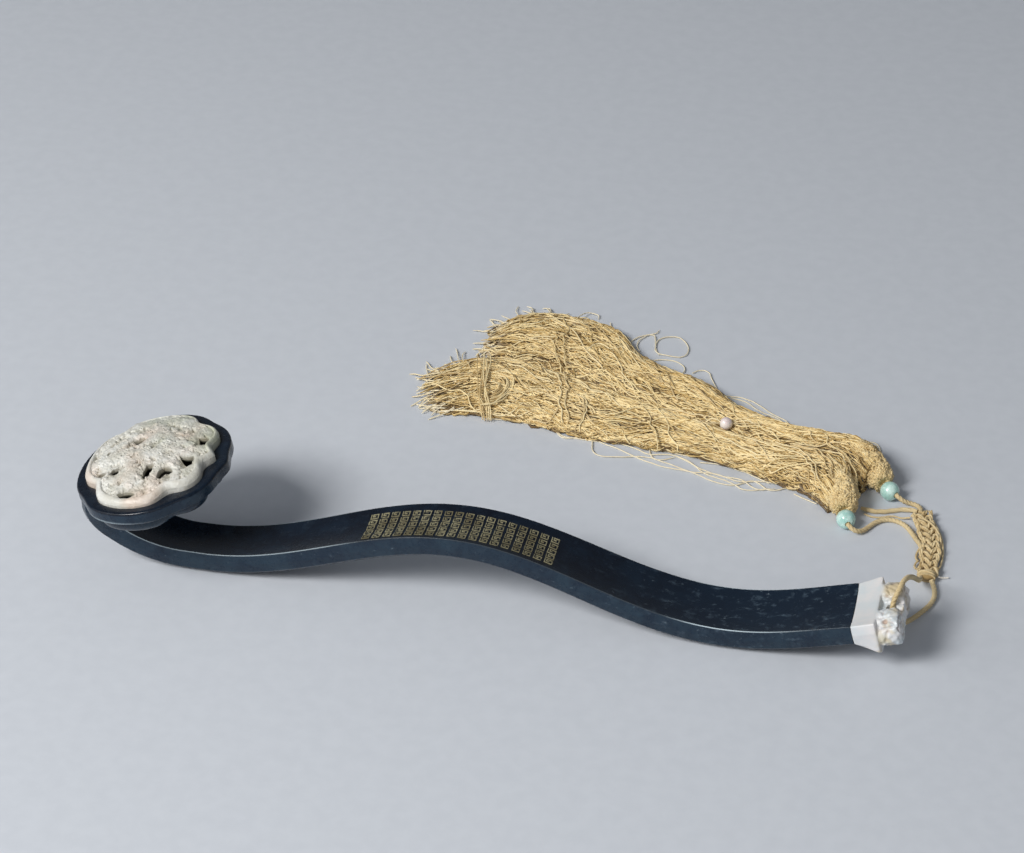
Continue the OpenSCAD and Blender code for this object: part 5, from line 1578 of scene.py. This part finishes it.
tips = [
    [(-26.9, 247.2, 5), (-32.5, 259.8, 2), (-35.5, 266.2, 1), (-38, 268, 1)],
    [(-19.7, 249.4, 5), (-23, 261.3, 2), (-25.8, 268, 1), (-27.9, 268, 1)],
    [(-6.5, 256.3, 4), (-3.2, 265.7, 2), (3.2, 268, 1), (3.7, 266.4, 1), (4.2, 261.7, 1)],
    [(-18.4, 252.1, 5), (-15.2, 260, 2), (-12.9, 264.3, 1)],
    [(-48.4, 232.2, 4), (-42.7, 246.2, 2), (-51.7, 236.3, 1), (-62.4, 235.4, 1)],
    [(-48.2, 235.2, 4), (-51.6, 243, 2), (-55.6, 247.9, 1)],
    [(-47.5, 217.8, 4), (-53.3, 222.5, 2), (-59.3, 222.2, 1)],
    [(-47, 212.2, 3), (-51.3, 213.7, 2), (-54.8, 211.6, 1)],
    [(-61.2, 198.4, 3), (-63.4, 204.4, 2), (-65.4, 210.4, 1), (-67.5, 215.2, 1)],
    [(-72.4, 176.7, 3), (-75, 184.7, 2), (-77.9, 191.3, 1), (-79.7, 196.3, 1)],
    [(-73.9, 176.4, 3), (-78, 180.4, 2), (-81.1, 180.1, 1)],
    [(-71.1, 171.4, 3), (-75, 171.5, 2), (-79.1, 173.2, 1)],
    [(-69.8, 166.1, 3), (-74, 167.3, 2), (-77.8, 166.8, 1)],
    [(-68.2, 159.5, 3), (-72, 161, 2), (-74.8, 159.7, 1)],
    [(-64.3, 156.3, 3), (-67.4, 153, 2), (-70.5, 148.6, 1)],
    [(-61, 155.6, 3), (-63.1, 151.2, 2), (-65, 147.7, 1)],
    [(-55.5, 158.4, 2), (-58.9, 156.4, 1), (-61.3, 150.4, 1)],
]
crossings = [
    [(-4.4, 194.3, 8.6), (0.9, 179.4, 9.2), (3.2, 163.1, 9), (8.3, 149.1, 6)],
    [(8.3, 172.1, 9), (14.3, 168.5, 9.2), (17.5, 154.5, 8.6), (16.5, 144.1, 4)],
    [(49.0, 171.2, 9), (56.3, 158.9, 9.4), (61.5, 147.1, 8.6), (64.4, 137.9, 4)],
    [(81.7, 161.5, 10), (89.0, 150.3, 10.3), (94.5, 138.8, 8)],
    [(-13.5, 249.2, 7), (-8.9, 229.5, 9), (-6.5, 212.3, 9), (-1.5, 198.5, 8)],
    [(120, 146, 11.6), (133, 139, 12.6), (143, 127, 13.6), (148, 114, 14)],
    [(132, 148, 11.6), (146, 142, 13.2), (152, 130, 14.6), (155, 116, 16.2)],
    [(143, 146, 11.6), (155, 141, 13.2), (161, 131, 15), (162, 118, 16.4)],
    [(150, 150, 11.6), (160, 144, 13.4), (166, 133, 14.6), (167, 121, 15)],
]
rng = np.random.default_rng(77)


def loosened(route, jitter, low=0.5):
    # a listed route gets small seeded waves, and lies on the ground where no height is given
    line, _ = curveThrough([tuple(p) + ((low + 0.3,) if len(p) == 2 else ()) for p in route], 4.0)
    wave = np.cumsum(rng.normal(0, jitter * 0.5, line.shape), axis=0)
    ease = np.linspace(0, 1, len(line))[:, None]
    line = line + (wave - wave[-1] * ease) * (1, 1, 0.15)
    line[:, 2] = np.maximum(line[:, 2], low)
    line[:, 1] = np.minimum(line[:, 1], straySizes["farthest"])
    return line


def strayPiece(name, strands):
    obj = joinedUp(*strands)
    obj.name = obj.data.name = name
    points = corners(obj)
    points[:, 2] = np.maximum(points[:, 2], 0.0)
    obj.data.vertices.foreach_set("co", points.astype(np.float32).ravel())
    obj.data.update()
    shaded(obj)
    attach(obj, "scepter")
    print(name, len(obj.data.polygons), "faces")


def stray(route, radius, tint, white=0.75):
    made = threadAlong("stray", route, radius, skirtThread, 0, tint, 5, 0.0, 0.5)
    addAttribute(made, "bleached", np.full(len(made.data.vertices), white))
    return made


strayRadius, crossRadius, jitter = straySizes["radius"], straySizes["crossRadius"], straySizes["jitter"]
strayPiece("strayThreads", [stray(loosened(r, jitter), strayRadius, 0.8) for r in straysFront + straysBack + tips])

laidOver = []
for route in crossings:
    for k in range(2):
        shift = np.array([rng.normal(0, 3.4), rng.normal(0, 0.9), 0.2 * k - 0.2])
        laidOver.append(stray(loosened([np.array(p) + shift for p in route], 1.9), crossRadius,
                              float(rng.uniform(0.5, 1.0)), float(rng.uniform(0, 0.2))))


def alongSkirt(rows, first, last, sideFirst, sideLast, wave, lift=0.35, count=10):
    # a path that keeps to the skirt's surface: shares along it and across it, at the start and the end
    path = []
    for s in np.linspace(0, 1, count):
        t = first + (last - first) * s
        side = sideFirst + (sideLast - sideFirst) * s + wave * math.sin(3.4 * s * math.pi + 20 * first)
        a = np.array([np.interp(min(max(t, 0), 1), np.linspace(0, 1, len(rows)), rows[:, k]) for k in range(5)]) / mm
        side = min(max(side, 0.01), 0.99)
        bow = math.sqrt(1 - (2 * side - 1) ** 2)
        path.append((a[0] + (a[2] - a[0]) * side, a[1] + (a[3] - a[1]) * side,
                     lift + a[4] * (0.25 + 0.75 * bow) * (1.0 if s < 0.93 and s > 0.07 else 0.9)))
    return path


for stations, many in ((skirtFront, 60), (skirtBack, 50)):
    rows = skirtRows(stations, 60)
    for k in range(many):
        first, side = rng.uniform(0.02, 0.88), rng.uniform(0.0, 1.0)
        far, turn = rng.uniform(0.05, 0.2), rng.uniform(0.15, 0.75) * rng.choice((-1, 1))
        route = alongSkirt(rows, first, first + far, side, side + turn, rng.uniform(0.0, 0.07))
        laidOver.append(stray(loosened(route, 0.7), crossRadius, float(rng.uniform(0.4, 1.0)),
                              float(rng.uniform(0, 0.25))))
    for k in range(40):
        # ragged ends
        first, side = rng.uniform(0.86, 0.97), rng.uniform(0.03, 0.97)
        start = np.array(alongSkirt(rows, first, first + 0.02, side, side, 0.0, 0.0, 2)[0])
        flow = np.array([rows[-1][0] - rows[-4][0], rows[-1][1] - rows[-4][1], 0])
        swing = rng.normal(0, 0.45) + (side - 0.5) * -1.1
        way = np.array([flow[0] * math.cos(swing) - flow[1] * math.sin(swing),
                        flow[0] * math.sin(swing) + flow[1] * math.cos(swing), 0]) / np.linalg.norm(flow)
        long = rng.uniform(8, 18)
        bend = np.array([-way[1], way[0], 0]) * rng.normal(0, 0.4)
        ends = [start + (way * t + bend * t * t) * long - (0, 0, (start[2] - 0.6) * t) for t in (0, 0.35, 0.7, 1)]
        laidOver.append(stray(loosened(ends, 1.0), straySizes["radius"], 0.8, float(rng.uniform(0.3, 0.9))))
# threads turned back at the front skirt's far end
for k in range(13):
    wide, high = 2.0 + 0.62 * k, 4.0 + 1.15 * k
    arc = [(-35.5 + wide * math.cos(a) + rng.normal(0, 0.3), 171.5 + high * math.sin(a) + 0.3 * wide * math.cos(a)
            + rng.normal(0, 0.4), 8.2 + 0.4 * math.sin(3 * a + k))
           for a in np.linspace(1.9 + rng.uniform(-0.3, 0.3), -1.7 + rng.uniform(-0.3, 0.3), 9)]
    laidOver.append(stray(arc, crossRadius, float(rng.uniform(0.4, 1.0)), 0.1))
strayPiece("crossingThreads", laidOver)

# the tie: uneven threads wound over the front skirt near its end
tie = []
for k, offset in enumerate((-2.2, -0.9, 0.1, 1.3, 2.3)):
    route = [(x / mm + offset - 6.5 + 1.5 * math.sin(1.9 * k + y * 60) + rng.normal(0, 0.3),
              y / mm + 4.0 * (y < 0.16) + 0.2 * k, z / mm + 0.25 * (k % 2)) for x, y, z in tieRoute]
    thread = threadAlong("tie", route, 0.36, skirtThread, 260, 0.5 + 0.12 * k)
    addAttribute(thread, "bleached", np.full(len(thread.data.vertices), 0.12))
    tie.append(thread)
tasselTie = joinedUp(*tie)
tasselTie.name = tasselTie.data.name = "tasselTie"
shaded(tasselTie)
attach(tasselTie, "scepter")
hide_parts("tassel_tie")

# the free cords' lines are turned into point lists, which are not kept
freeCord(hangingLine)
freeCord(leadBackLine)
freeCord(leadFrontLine)

# what lies hidden keeps its solid and gets its own finish
bed = Finish("darkMastic")
lump = bed.noise(160.0, 4.0, 0.6)
mastic = bed.done(lump.between(0.3, 0.7).tinted((0.010, 0.007, 0.005), (0.022, 0.015, 0.010)),
                  0.6 + 0.25 * lump, bed.bump(lump, 0.0003))
wood = Finish("dowelWood")
grain = wood.noise(1.0, 4.0, 0.6, at=wood.stretched(60, 900, 900))
dowelWood = wood.done(grain.tinted((0.20, 0.11, 0.045), (0.42, 0.27, 0.13)), 0.6 + 0.2 * grain,
                      wood.bump(grain, 0.0001))
for node, material in (("plaque_bed", mastic), ("tail_dowel", dowelWood)):
    for slot in bpy.data.objects[node].material_slots:
        slot.material = material
print("cords, tie and hidden parts: made")

# the plain floor and soft light
stageSizes = {"reach": 6.0, "keyPower": 70.0, "fillPower": 8.0, "sidePower": 7.0, "roomLight": 0.2}
reach = stageSizes["reach"]
floor = newObject("floor", [(-reach, -reach, 0), (reach, -reach, 0), (reach, reach, 0), (-reach, reach, 0)],
                  [(0, 1, 2, 3)])
paper = Finish("floorPaper")
grain = paper.noise(120.0, 3.0)
floor.data.materials.append(paper.done(
    grain.between(0.2, 0.8).tinted((0.58, 0.61, 0.66), (0.61, 0.64, 0.69)), 0.75 + 0.1 * grain))


def softLamp(name, spot, size, power, colour):
    # a square lamp aimed at the row's middle
    lamp = bpy.data.lights.new(name, "AREA")
    lamp.shape, lamp.size, lamp.energy, lamp.color = "SQUARE", size, power, colour
    obj = bpy.data.objects.new(name, lamp)
    obj.location = spot
    obj.rotation_euler = (Vector((0, 0.05, 0)) - Vector(spot)).to_track_quat("-Z", "Y").to_euler()
    scene.collection.objects.link(obj)


softLamp("keyLamp", (-1.3, -1.55, 1.9), 0.95, stageSizes["keyPower"], (1.0, 0.99, 0.97))
softLamp("fillLamp", (0.9, -2.2, 1.3), 1.8, stageSizes["fillPower"], (0.97, 0.98, 1.0))
softLamp("sideLamp", (-2.0, -0.8, 0.9), 1.2, stageSizes["sidePower"], (0.98, 0.99, 1.0))
world = bpy.data.worlds.new("room")
world.use_nodes = True
world.node_tree.nodes["Background"].inputs[0].default_value = (0.80, 0.85, 0.92, 1)
world.node_tree.nodes["Background"].inputs[1].default_value = stageSizes["roomLight"]
scene.world = world
scene.view_settings.view_transform = "Standard"

print("scene: made")
